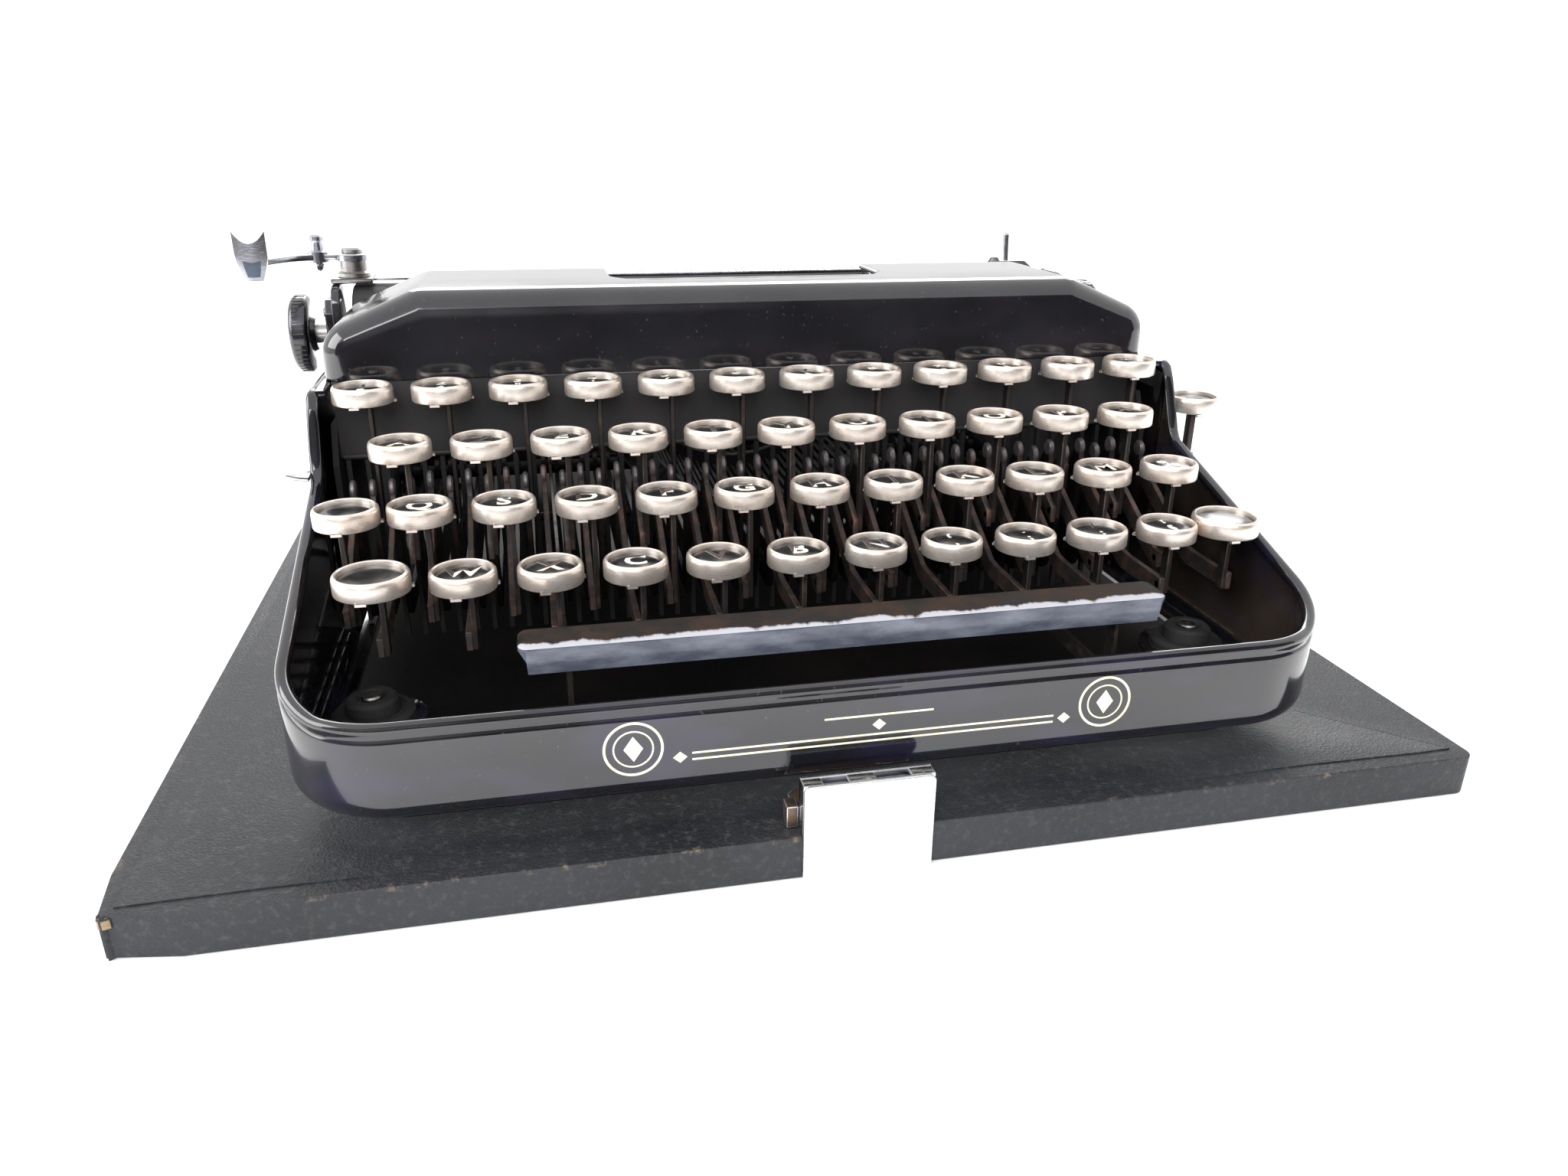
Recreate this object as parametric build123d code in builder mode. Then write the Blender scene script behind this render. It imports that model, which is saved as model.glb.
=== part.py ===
"""Portable typewriter on its case board: forty-four type keys on one lever shaft, a shifting type
basket, a lift-off ribbon cover and a sliding carriage. Millimetres, +Z up, origin under the middle
of the case board, the typist sits on the -Y side."""

from build123d import *
import math
import os

os.makedirs("parts", exist_ok=True)

# ---------------------------------------------------------------- driving dimensions
BOARD_WIDTH = 302.0
BOARD_DEPTH = 300.0
BOARD_THICK = 10.4
BOARD_CORNER = 3.0

BODY_HALF = 118.0          # outside half width of the lower casing
BODY_FRONT = 8.0           # distances "back" are measured from the board's front edge
BODY_BACK = 268.0
BODY_CORNER = 23.0
BODY_BOTTOM = 18.0
SHEET = 1.6                # casing sheet
RIM_WIDTH = 2.8
RIM_HEIGHT = 3.0
FRONT_RIM_Z = 41.0
SIDE_RIM_Z = 67.0
WALL_TOP_Z = 86.7
REAR_TOP_Z = 64.0
RIM_RISE_START = 12.0
RIM_RISE_END = 92.0
COVER_START = 101.0
COVER_END = 158.0

KEY_PITCH = 19.0
SLOT_PITCH = KEY_PITCH / 4
KEY_RADIUS = 7.4
SHIFT_RADIUS = 8.3
CUP_HEIGHT = 4.5
LEVER_THICK = 1.5
STEM_THICK = 1.25
STEM_DEPTH = 3.0
# key rows from the back: how many keys, first key in pitches from the middle, distance back, top
KEY_ROWS = (
    ("row1", 12, -5.5, 101.4, 87.9),
    ("row2", 11, -5.0, 83.3, 78.1),
    ("row3", 11, -4.75, 65.9, 67.5),
    ("row4", 10, -4.25, 47.8, 57.3),
)
ROW3_BACK, ROW3_TOP = 65.9, 67.5
ROW4_BACK, ROW4_TOP = 47.8, 58.0

PIVOT_BACK = 225.0         # the rear shaft that every key lever hangs on
PIVOT_Z = 30.0
SHAFT_RADIUS = 2.5
RUNNING = 0.05             # radial clearance of a lever on its pin
HUB_RADIUS = 5.0
RUN_TOP, RUN_BOTTOM = 29.0, 24.0
ARM_FLAT_Z = 42.5          # top edge of a lever's front arm
ARM_DEEP = 4.5
ARM_BEND = 67.0
ARM_SLOPE = math.tan(math.radians(30))
HEAD_BACK, HEAD_RADIUS, HEAD_Z = 98.0, 2.4, 62.0

BAR_LEFT, BAR_RIGHT = -69.5, 74.0
BAR_FRONT, BAR_BACK, BAR_TOP = 17.0, 27.0, 51.0
BAR_ARM_SLOTS = (-12.5, 13.5)      # in slot pitches, between two key levers
BAR_ARM_SHIFT = 0.45       # each arm stands off its neighbour's stem by this much
BAR_ARM_THICK = 1.0

PLATE_INNER = 113.2        # inner faces of the chassis side plates
PLATE_THICK = 1.5

BASKET_BACK, BASKET_Z = 162.0, 84.0
BASKET_RADIUS = 41.0
BASKET_SPREAD = 62.0
TYPE_BARS = 44
TYPE_BAR_FRONT = 116.0
SLUG_LENGTH = 7.0

COVER_HALF = 115.4
COVER_FRONT = 110.5
COVER_SHOULDER_Z = 98.5
COVER_FLAT_HALF = 90.9
COVER_BOTTOM, COVER_TOP = 87.0, 109.0
COVER_SHEET = 1.5
COVER_ROUND = 5.0

PLATEN_BACK, PLATEN_Z, PLATEN_RADIUS = 190.0, 87.0, 15.0
PLATEN_HALF = 115.5
AXLE_RADIUS = 3.0
KNOB_RADIUS, KNOB_INNER, KNOB_OUTER = 11.8, 129.2, 135.4
END_INNER, END_THICK = 119.0, 2.5
RAIL_TOP = 67.7
CARRIAGE_BOTTOM = 68.0
TABLE_HALF = 58.0
BAIL_PIVOT = (213.0, 97.0)
RELEASE_PIVOT = (210.5, 92.0)
RETURN_PIVOT = (-115.0, 190.0)
RETURN_TIP = (-140.0, 170.0)
RETURN_ARM_Z = 109.4        # underside of the return lever's arm


def back(distance):
    """Row-frame Y of a place this far back from the board's front edge."""
    return distance - BOARD_DEPTH / 2


def side_points(points):
    """(distance back, height) pairs as (Y, Z) points of a side-view sketch."""
    return [(back(distance), height) for distance, height in points]


def side_plane(x):
    """Side-view plane through x: its own X runs back, its own Y runs up, its normal is +X."""
    return Plane(origin=(x, 0, 0), x_dir=(0, 1, 0), z_dir=(1, 0, 0))


def write(shape, name):
    shape.label = name
    export_step(shape, f"parts/{name}.step")


def group(name, pieces):
    """One node made of several separate pieces."""
    write(Compound(label=name, children=pieces), name)


def block(low, high):
    """A plain block between two corners given as (x, distance back, z)."""
    size = [high[i] - low[i] for i in range(3)]
    middle = [(high[i] + low[i]) / 2 for i in range(3)]
    with BuildPart() as piece:
        with Locations((middle[0], back(middle[1]), middle[2])):
            Box(*size)
    return piece.part


def portion(shape, low, high):
    """What lies of a shape between two corners given as (x, distance back, z)."""
    size = [high[i] - low[i] for i in range(3)]
    middle = [(high[i] + low[i]) / 2 for i in range(3)]
    with BuildPart() as piece:
        add(shape)
        with Locations((middle[0], back(middle[1]), middle[2])):
            Box(*size, mode=Mode.INTERSECT)
    return piece.part


def cross_rod(x0, x1, distance, z, radius):
    """A round rod along X."""
    with BuildPart() as rod:
        with BuildSketch(side_plane(x0)):
            with Locations((back(distance), z)):
                Circle(radius)
        extrude(amount=x1 - x0)
    return rod.part


# ---------------------------------------------------------------- case board and its metalwork
with BuildPart() as case_board:
    with BuildSketch():
        RectangleRounded(BOARD_WIDTH, BOARD_DEPTH, BOARD_CORNER)
    extrude(amount=BOARD_THICK)
    fillet(case_board.faces().sort_by(Axis.Z)[-1].edges(), 0.8)
write(case_board.part, "case_board")

LOCK_HALF, LOCK_TOP, LOCK_PROUD, LOCK_DEPTH = 14.3, 22.6, 1.2, 3.7
LOCK_WELL = 5.0
with BuildPart() as lock_case:
    with BuildSketch(side_plane(-LOCK_HALF)):
        with BuildLine():
            Polyline(
                *side_points(
                    [
                        (0, 0),
                        (-LOCK_PROUD, 0),
                        (-LOCK_PROUD, LOCK_TOP),
                        (LOCK_DEPTH, LOCK_TOP),
                        (LOCK_DEPTH, 17.0),
                        (9.0, BOARD_THICK + 1.2),
                        (17.0, BOARD_THICK + 1.2),
                        (17.0, BOARD_THICK),
                        (0, BOARD_THICK),
                    ]
                ),
                close=True,
            )
        make_face()
    extrude(amount=2 * LOCK_HALF)
    with BuildSketch(Plane.XY.offset(LOCK_TOP)):
        for slot_left, slot_right in ((-9.9, -4.6), (1.5, 9.0)):
            with Locations(((slot_left + slot_right) / 2, back(1.2))):
                Rectangle(slot_right - slot_left, 3.0)
    extrude(amount=-LOCK_WELL, mode=Mode.SUBTRACT)
hinge_leaves = []
for hinge_x in (-90.0, 90.0):
    leaf_low = (hinge_x - 16, BOARD_DEPTH, 0.8)
    hinge_leaves.append(block(leaf_low, (hinge_x + 16, BOARD_DEPTH + LOCK_PROUD, 10.0)))
group("case_hardware", [lock_case.part] + hinge_leaves)


# ---------------------------------------------------------------- lower casing with rubber feet
BODY_DEPTH = BODY_BACK - BODY_FRONT
BODY_MIDDLE = back((BODY_BACK + BODY_FRONT) / 2)
BOTTOM_ROUND = 6.0
FLANGE_FRONT, FLANGE_SIDE = 20.0, 111.5
RIM_PROFILE = [
    (BODY_FRONT - 1, FRONT_RIM_Z),
    (RIM_RISE_START, FRONT_RIM_Z),
    (RIM_RISE_END, SIDE_RIM_Z),
    (COVER_START, WALL_TOP_Z),
    (COVER_END, WALL_TOP_Z),
    (COVER_END + 5, REAR_TOP_Z),
    (BODY_BACK + 1, REAR_TOP_Z),
]


def casing_form(inset, bottom, top, rounding):
    """Rounded-plan block with a rounded bottom edge, inset from the casing's outside."""
    with BuildPart() as form:
        with BuildSketch(Plane.XY.offset(bottom)):
            with Locations((0, BODY_MIDDLE)):
                RectangleRounded(
                    2 * (BODY_HALF - inset), BODY_DEPTH - 2 * inset, BODY_CORNER - inset
                )
        extrude(amount=top - bottom)
        fillet(form.faces().sort_by(Axis.Z)[0].edges(), rounding)
    return form.part


with BuildPart() as rim_bead:
    with BuildSketch():
        with Locations((0, BODY_MIDDLE)):
            RectangleRounded(2 * BODY_HALF, BODY_DEPTH, BODY_CORNER)
            RectangleRounded(
                2 * (BODY_HALF - RIM_WIDTH),
                BODY_DEPTH - 2 * RIM_WIDTH,
                BODY_CORNER - RIM_WIDTH,
                mode=Mode.SUBTRACT,
            )
    extrude(amount=WALL_TOP_Z)
    with BuildSketch(side_plane(-BODY_HALF)):
        with BuildLine():
            under_rim = [(distance, z - RIM_HEIGHT) for distance, z in reversed(RIM_PROFILE)]
            Polyline(*side_points(RIM_PROFILE + under_rim), close=True)
        make_face()
    extrude(amount=2 * BODY_HALF, mode=Mode.INTERSECT)

FOOT_SPOTS = [(side * 104.5, distance) for side in (-1, 1) for distance in (54.0, 240.0)]
with BuildPart() as casing:
    add(casing_form(0, BODY_BOTTOM, WALL_TOP_Z, BOTTOM_ROUND))
    add(
        casing_form(SHEET, BODY_BOTTOM + SHEET, WALL_TOP_Z + 1, BOTTOM_ROUND - SHEET),
        mode=Mode.SUBTRACT,
    )
    with BuildSketch(Plane.XY.offset(BODY_BOTTOM)):
        with Locations((0, back((FLANGE_FRONT + 256) / 2))):
            Rectangle(2 * FLANGE_SIDE, 256 - FLANGE_FRONT)
        with Locations(*[(x, back(distance)) for x, distance in FOOT_SPOTS]):
            Circle(12.0, mode=Mode.SUBTRACT)
    extrude(amount=SHEET, mode=Mode.SUBTRACT)
    with BuildSketch(side_plane(-BODY_HALF - 1)):
        with BuildLine():
            above = [(BODY_BACK + 1, WALL_TOP_Z + 1), (BODY_FRONT - 1, WALL_TOP_Z + 1)]
            Polyline(*side_points(RIM_PROFILE + above), close=True)
        make_face()
    extrude(amount=2 * BODY_HALF + 2, mode=Mode.SUBTRACT)
    add(rim_bead.part)
    for side in (-1, 1):
        ledge_low = (min(side * 113.5, side * 117.0), 104.0, WALL_TOP_Z - SHEET)
        ledge_high = (max(side * 113.5, side * 117.0), COVER_END, WALL_TOP_Z)
        add(block(ledge_low, ledge_high))
    with BuildSketch(Plane.XY.offset(BODY_BOTTOM)):
        with Locations(*[(x, back(distance)) for x, distance in FOOT_SPOTS]):
            Circle(4.0)
    extrude(amount=SHEET, mode=Mode.SUBTRACT)

# the casing is made up of straight walls, corner pieces, foot pads and two raised side panels
CORNER_START = BODY_HALF - BODY_CORNER
FRONT_CORNER_END, REAR_CORNER_START = BODY_FRONT + BODY_CORNER, BODY_BACK - BODY_CORNER
UNDER, OVER = BODY_BOTTOM - 1, WALL_TOP_Z + 1
PAD_TOP = BODY_BOTTOM + SHEET + 0.4
BOTTOM_END = BODY_FRONT + BOTTOM_ROUND
REAR_BOTTOM_START = BODY_BACK - BOTTOM_ROUND
side_spans = [
    ((FLANGE_SIDE, FRONT_CORNER_END, UNDER), (BODY_HALF + 1, REAR_CORNER_START, SIDE_RIM_Z)),
    ((FLANGE_SIDE, FRONT_CORNER_END, SIDE_RIM_Z), (BODY_HALF + 1, REAR_CORNER_START, OVER)),
    ((FLANGE_SIDE, BODY_FRONT - 1, UNDER), (BODY_HALF + 1, FRONT_CORNER_END, OVER)),
    ((CORNER_START, BODY_FRONT - 1, UNDER), (FLANGE_SIDE, FRONT_CORNER_END, OVER)),
    ((FLANGE_SIDE, REAR_CORNER_START, UNDER), (BODY_HALF + 1, BODY_BACK + 1, OVER)),
    ((CORNER_START, 254.0, UNDER), (FLANGE_SIDE, BODY_BACK + 1, OVER)),
    ((92.0, 41.0, UNDER), (FLANGE_SIDE, 67.0, PAD_TOP)),
    ((92.0, 227.0, UNDER), (FLANGE_SIDE, 254.0, PAD_TOP)),
]
middle_spans = [
    (BODY_FRONT - 1, BOTTOM_END),
    (BOTTOM_END, FLANGE_FRONT + 1),
    (255.0, REAR_BOTTOM_START),
    (REAR_BOTTOM_START, BODY_BACK + 1),
]
casing_pieces = []
for low, high in side_spans:
    casing_pieces.append(portion(casing.part, low, high))
    casing_pieces.append(portion(casing.part, (-high[0], *low[1:]), (-low[0], *high[1:])))
for start, end in middle_spans:
    low, high = (-CORNER_START, start, UNDER), (CORNER_START, end, OVER)
    casing_pieces.append(portion(casing.part, low, high))

BACKSPACE_PIVOT = (150.0, 64.0)
BACKSPACE_STUD = 2.0
stud = cross_rod(BODY_HALF, 121.2, *BACKSPACE_PIVOT, BACKSPACE_STUD)
stud_head = cross_rod(121.2, 122.4, *BACKSPACE_PIVOT, 3.4)

feet = []
for foot_x, foot_back in FOOT_SPOTS:
    with BuildPart() as foot:
        with BuildSketch(Plane.XZ.offset(-back(foot_back))):
            with BuildLine():
                Polyline(
                    (foot_x, BOARD_THICK),
                    (foot_x + 10.5, BOARD_THICK),
                    (foot_x + 11.5, BODY_BOTTOM),
                    (foot_x + 4.0, BODY_BOTTOM),
                    (foot_x + 4.0, BODY_BOTTOM + SHEET),
                    (foot_x + 9.5, BODY_BOTTOM + SHEET),
                    (foot_x + 8.5, 25.5),
                    (foot_x + 5.0, 27.5),
                    (foot_x, 27.5),
                    close=True,
                )
            make_face()
        revolve(axis=Axis((foot_x, back(foot_back), 0), (0, 0, 1)))
    feet.append(foot.part)
group("frame_tray", casing_pieces + [stud, stud_head] + feet)


# ---------------------------------------------------------------- chassis inside the casing
PLATE_SECTIONS = (
    [(106, 21), (223, 21), (226, 29), (226, 62), (106, 62)],
    [(226, 29), (241, 29), (241, 62), (226, 62)],
    [(106, 62), (170, 62), (160, 76), (111, 76), (106, 66)],
)


def plate_section(points):
    """One flat section of the right side plate, from its side-view outline."""
    with BuildPart() as section:
        with BuildSketch(side_plane(PLATE_INNER)):
            with BuildLine():
                Polyline(*side_points(points), close=True)
            make_face()
        extrude(amount=PLATE_THICK)
    return section.part


right_plate = [plate_section(points) for points in PLATE_SECTIONS]
left_plate = [mirror(section, about=Plane.YZ) for section in right_plate]

PANEL_FRONT, PANEL_BOTTOM = 111.0, 67.0
chassis = right_plate + left_plate
chassis.append(
    block((-PLATE_INNER, PANEL_FRONT, PANEL_BOTTOM), (PLATE_INNER, PANEL_FRONT + 1.5, WALL_TOP_Z))
)
SLOT_COUNT = 23                       # lever slots each side of the middle
for tooth in range(-SLOT_COUNT - 1, SLOT_COUNT + 1):
    if tooth + 0.5 not in BAR_ARM_SLOTS:
        tooth_x = (tooth + 0.5) * SLOT_PITCH
        over_flange = abs(tooth_x) > FLANGE_SIDE - 1
        tooth_low = (tooth_x - 0.6, PANEL_FRONT, BODY_BOTTOM + 2.5 if over_flange else 15.0)
        chassis.append(block(tooth_low, (tooth_x + 0.6, PANEL_FRONT + 1.5, PANEL_BOTTOM)))
chassis.append(cross_rod(-PLATE_INNER, PLATE_INNER, PIVOT_BACK, PIVOT_Z, SHAFT_RADIUS))
for rail_back in (180.0, 204.0):
    rail_low = (-PLATE_INNER - PLATE_THICK, rail_back, 62.0)
    chassis.append(block(rail_low, (PLATE_INNER + PLATE_THICK, rail_back + 4, RAIL_TOP)))
chassis.append(block((-PLATE_INNER, 236, 38), (PLATE_INNER, 237.5, 60)))
for side in (-1, 1):
    deck_x = sorted((side * 58.0, side * PLATE_INNER))
    chassis.append(block((deck_x[0], 113.5, 74.0), (deck_x[1], 157, 75.5)))
with BuildPart() as spring_drum:
    with BuildSketch(Plane.XZ.offset(-back(237.5))):
        with Locations((-76, 43)):
            Circle(16)
    extrude(amount=-14)
chassis.append(spring_drum.part)
group("chassis", chassis)


# ---------------------------------------------------------------- type basket
def basket_plane(angle):
    """Plane across the bars, its own Y pointing out of the basket at this angle from straight
    down, its normal running forward along the bars."""
    outward = (math.sin(angle), 0, -math.cos(angle))
    sideways = Vector(*outward).cross(Vector(0, -1, 0))
    origin = (
        BASKET_RADIUS * outward[0],
        back(BASKET_BACK + 1),
        BASKET_Z + BASKET_RADIUS * outward[2],
    )
    return Plane(origin=origin, x_dir=tuple(sideways), z_dir=(0, -1, 0))


SPREAD = math.radians(BASKET_SPREAD)
bar_angles = [-SPREAD + 2 * SPREAD * bar / (TYPE_BARS - 1) for bar in range(TYPE_BARS)]
BAR_LENGTH = BASKET_BACK + 1 - TYPE_BAR_FRONT
basket = []
for angle in bar_angles:
    bar_plane = basket_plane(angle)
    with BuildPart() as type_bar:
        with BuildSketch(bar_plane):
            Rectangle(1.0, 3.6)
        extrude(amount=BAR_LENGTH - SLUG_LENGTH)
    with BuildPart() as type_slug:
        with BuildSketch(bar_plane.offset(BAR_LENGTH - SLUG_LENGTH)):
            with Locations((0, -0.7)):
                Rectangle(1.7, 5.0)
        extrude(amount=SLUG_LENGTH)
    basket += [type_bar.part, type_slug.part]


def segment_block(start, end, inner, outer, depth_start, depth_end):
    """Block of the segment between two angles and two radii, from one distance back to another."""
    corners = []
    for radius, angle in ((inner, start), (outer, start), (outer, end), (inner, end)):
        corners.append((radius * math.sin(angle), BASKET_Z - radius * math.cos(angle)))
    with BuildPart() as piece:
        with BuildSketch(Plane.XZ.offset(-back(depth_start))):
            with BuildLine():
                Polyline(*corners, close=True)
            make_face()
        extrude(amount=depth_start - depth_end)
    return piece.part


# the segment that carries the bars: a ring in short chords behind them and a lip below them
SEGMENT_BLOCKS = 12
SEGMENT_REACH = math.radians(BASKET_SPREAD + 6)
block_angle = 2 * SEGMENT_REACH / SEGMENT_BLOCKS
for number in range(SEGMENT_BLOCKS):
    start = -SEGMENT_REACH + number * block_angle
    ring_radii, lip_radii = (BASKET_RADIUS - 5, BASKET_RADIUS + 4), (BASKET_RADIUS + 2, BASKET_RADIUS + 4)
    ring_start = BASKET_BACK + 1
    basket.append(
        segment_block(start, start + block_angle, *ring_radii, ring_start, BASKET_BACK + 4)
    )
    basket.append(
        segment_block(start, start + block_angle, *lip_radii, BASKET_BACK - 4, ring_start)
    )
group("type_bars", basket)


# ---------------------------------------------------------------- ribbon spools
spools = []
for spool_x in (-84.0, 84.0):
    with BuildPart() as spool:
        with BuildSketch(Plane.XZ.offset(-back(132.0))):
            with BuildLine():
                Polyline(
                    (spool_x, 75.5),
                    (spool_x + 4, 75.5),
                    (spool_x + 4, 80),
                    (spool_x + 17, 80),
                    (spool_x + 17, 81),
                    (spool_x + 15, 81),
                    (spool_x + 15, 91),
                    (spool_x + 17, 91),
                    (spool_x + 17, 92),
                    (spool_x + 3, 92),
                    (spool_x + 3, 96),
                    (spool_x, 96),
                    close=True,
                )
            make_face()
        revolve(axis=Axis((spool_x, back(132.0), 0), (0, 0, 1)))
    spools.append(spool.part)
group("ribbon_spools", spools)


# ---------------------------------------------------------------- ribbon cover
def cover_form(inset, front, end, bottom, rounding):
    """Cover block seen from the front as a roof with cut-off shoulders, front edges rounded."""
    half, flat, top = COVER_HALF - inset, COVER_FLAT_HALF - 0.4 * inset, COVER_TOP - inset
    shoulder = COVER_SHOULDER_Z - 0.4 * inset
    with BuildPart() as form:
        with BuildSketch(Plane.XZ.offset(-back(front))):
            with BuildLine():
                Polyline(
                    (-half, bottom),
                    (-half, shoulder),
                    (-flat, top),
                    (flat, top),
                    (half, shoulder),
                    (half, bottom),
                    close=True,
                )
            make_face()
        extrude(amount=front - end)
        front_face = form.faces().sort_by(Axis.Y)[0]
        rounded = [edge for edge in front_face.edges() if edge.center().Z > bottom + 0.5]
        fillet(rounded, rounding)
    return form.part


NOTCH_HALF, NOTCH_FRONT = 40.0, 127.0
with BuildPart() as top_cover:
    add(cover_form(0, COVER_FRONT, COVER_END, COVER_BOTTOM, COVER_ROUND))
    add(
        cover_form(
            COVER_SHEET,
            COVER_FRONT + COVER_SHEET,
            COVER_END + 1,
            COVER_BOTTOM - 1,
            COVER_ROUND - COVER_SHEET,
        ),
        mode=Mode.SUBTRACT,
    )
    with BuildSketch(Plane.XY.offset(COVER_TOP + 1)):
        with Locations((0, back((NOTCH_FRONT + COVER_END + 20) / 2))):
            RectangleRounded(2 * NOTCH_HALF, COVER_END + 20 - NOTCH_FRONT, 14)
    extrude(amount=-6, mode=Mode.SUBTRACT)
write(top_cover.part, "top_cover")


# ---------------------------------------------------------------- keys on their levers
def arm_top(distance):
    """Height of the top edge of a lever's front arm."""
    return ARM_FLAT_Z + max(0.0, distance - ARM_BEND) * ARM_SLOPE


def lever(x, key_back, head_z=HEAD_Z, drop=None):
    """Flat key lever from its key to the rear shaft, with the rounded lug head on its hump.
    drop adds a lug under the rear run, at this distance back, for a cross rod."""
    start = key_back - STEM_DEPTH / 2
    outline = [(start, arm_top(start))] if start < 94 else [(95.5, arm_top(95.5))]
    if start < ARM_BEND:
        outline.append((ARM_BEND, ARM_FLAT_Z))
    outline += [(96.0, arm_top(96.0)), (HEAD_BACK - 1.6, head_z), (HEAD_BACK + 1.6, head_z)]
    outline += [(103.4, 57.0), (110.0, RUN_TOP), (PIVOT_BACK, RUN_TOP)]
    outline += [(PIVOT_BACK, RUN_BOTTOM + 1)]
    if drop:
        outline += [(drop + 3, RUN_BOTTOM), (drop + 3, 15.0), (drop - 3, 15.0)]
        outline += [(drop - 3, RUN_BOTTOM)]
    outline += [(103.5, RUN_BOTTOM), (95.5, 50.5)]
    if start < 94:
        outline.append((94.0, arm_top(94.0) - ARM_DEEP - 1))
    if start < ARM_BEND:
        outline.append((ARM_BEND + 1, ARM_FLAT_Z - ARM_DEEP))
    if start < 94:
        outline.append((start, arm_top(start) - ARM_DEEP))
    with BuildPart() as strip:
        with BuildSketch(side_plane(x - LEVER_THICK / 2)):
            with BuildLine():
                Polyline(*side_points(outline), close=True)
            make_face()
            with Locations((back(HEAD_BACK), head_z)):
                Circle(HEAD_RADIUS)
            with Locations((back(PIVOT_BACK), PIVOT_Z)):
                Circle(HUB_RADIUS)
                Circle(SHAFT_RADIUS + RUNNING, mode=Mode.SUBTRACT)
        extrude(amount=LEVER_THICK)
    return strip.part


def key_top(x, key_back, top, radius):
    """Metal cup with a rolled lip, and the disc that shows the legend."""
    with BuildPart() as cup:
        with BuildSketch(Plane.XY.offset(top - CUP_HEIGHT)):
            with Locations((x, back(key_back))):
                Circle(radius)
        extrude(amount=CUP_HEIGHT)
        with BuildSketch(Plane.XY.offset(top)):
            with Locations((x, back(key_back))):
                Circle(radius - 1.0)
        extrude(amount=-1.4, mode=Mode.SUBTRACT)
    with BuildPart() as disc:
        with BuildSketch(Plane.XY.offset(top - 1.4)):
            with Locations((x, back(key_back))):
                Circle(radius - 1.0)
        extrude(amount=1.0)
    return [cup.part, disc.part]


def stem(lever_x, key_back, top, side):
    """Upright strip riveted to one side of the lever, up to the cup."""
    face = lever_x + side * LEVER_THICK / 2
    low_x, high_x = sorted((face, face + side * STEM_THICK))
    low = (low_x, key_back - STEM_DEPTH / 2, arm_top(key_back) - ARM_DEEP)
    if key_back > 94:
        low = (low_x, key_back - STEM_DEPTH / 2, 52.0)
    return block(low, (high_x, key_back + STEM_DEPTH / 2, top - CUP_HEIGHT))


for row, count, first, key_back, top in KEY_ROWS:
    for number in range(count):
        key_x = (first + number) * KEY_PITCH
        head_lift = 1.6 * (round(key_x / SLOT_PITCH) % 2)
        pieces = [lever(key_x, key_back, HEAD_Z + head_lift), stem(key_x, key_back, top, 1)]
        group(f"key_{row}_{number + 1:02d}", pieces + key_top(key_x, key_back, top, KEY_RADIUS))

SHIFT_ROD_BACK, SHIFT_ROD_Z = 205.0, 17.0
LEFT_SHIFT_LEVER, LEFT_SHIFT_KEY = -21 * SLOT_PITCH, -100.0
RIGHT_SHIFT_LEVER, RIGHT_SHIFT_KEY = 23 * SLOT_PITCH, 106.5
LOCK_LEVER, LOCK_KEY = -23 * SLOT_PITCH, -106.4
shift = [
    lever(LEFT_SHIFT_LEVER, ROW4_BACK, drop=SHIFT_ROD_BACK),
    stem(LEFT_SHIFT_LEVER, ROW4_BACK, ROW4_TOP, 1),
    lever(RIGHT_SHIFT_LEVER, ROW4_BACK, drop=SHIFT_ROD_BACK),
    stem(RIGHT_SHIFT_LEVER, ROW4_BACK, ROW4_TOP, -1),
    cross_rod(
        LEFT_SHIFT_LEVER + LEVER_THICK / 2,
        RIGHT_SHIFT_LEVER - LEVER_THICK / 2,
        SHIFT_ROD_BACK,
        SHIFT_ROD_Z,
        1.5,
    ),
]
shift += key_top(LEFT_SHIFT_KEY, ROW4_BACK, ROW4_TOP, SHIFT_RADIUS)
shift += key_top(RIGHT_SHIFT_KEY, ROW4_BACK, ROW4_TOP, SHIFT_RADIUS)
group("shift_keys", shift)

lock_pieces = [lever(LOCK_LEVER, ROW3_BACK), stem(LOCK_LEVER, ROW3_BACK, ROW3_TOP, 1)]
group("shift_lock_key", lock_pieces + key_top(LOCK_KEY, ROW3_BACK, ROW3_TOP, KEY_RADIUS))

# backspace key on its own lever outside the right wall
BACKSPACE_X, BACKSPACE_BACK, BACKSPACE_TOP = 126.5, 101.0, 76.5
with BuildPart() as backspace_lever:
    with BuildSketch(side_plane(118.8)):
        with BuildLine():
            Polyline(
                *side_points([(98.5, 57), (104, 57), (150, 61), (150, 67), (104, 62.5), (98.5, 62)]),
                close=True,
            )
        make_face()
        with Locations((back(BACKSPACE_PIVOT[0]), BACKSPACE_PIVOT[1])):
            Circle(5.0)
            Circle(BACKSPACE_STUD + RUNNING, mode=Mode.SUBTRACT)
    extrude(amount=1.8)
backspace_foot = block((120.6, 99.0, 57.5), (128.0, 103.0, 59.5))
backspace_stem = block((125.5, 99.5, 59.5), (127.5, 102.5, BACKSPACE_TOP - CUP_HEIGHT))
backspace_top = key_top(BACKSPACE_X, BACKSPACE_BACK, BACKSPACE_TOP, KEY_RADIUS)
group("backspace_key", [backspace_lever.part, backspace_foot, backspace_stem] + backspace_top)


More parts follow.
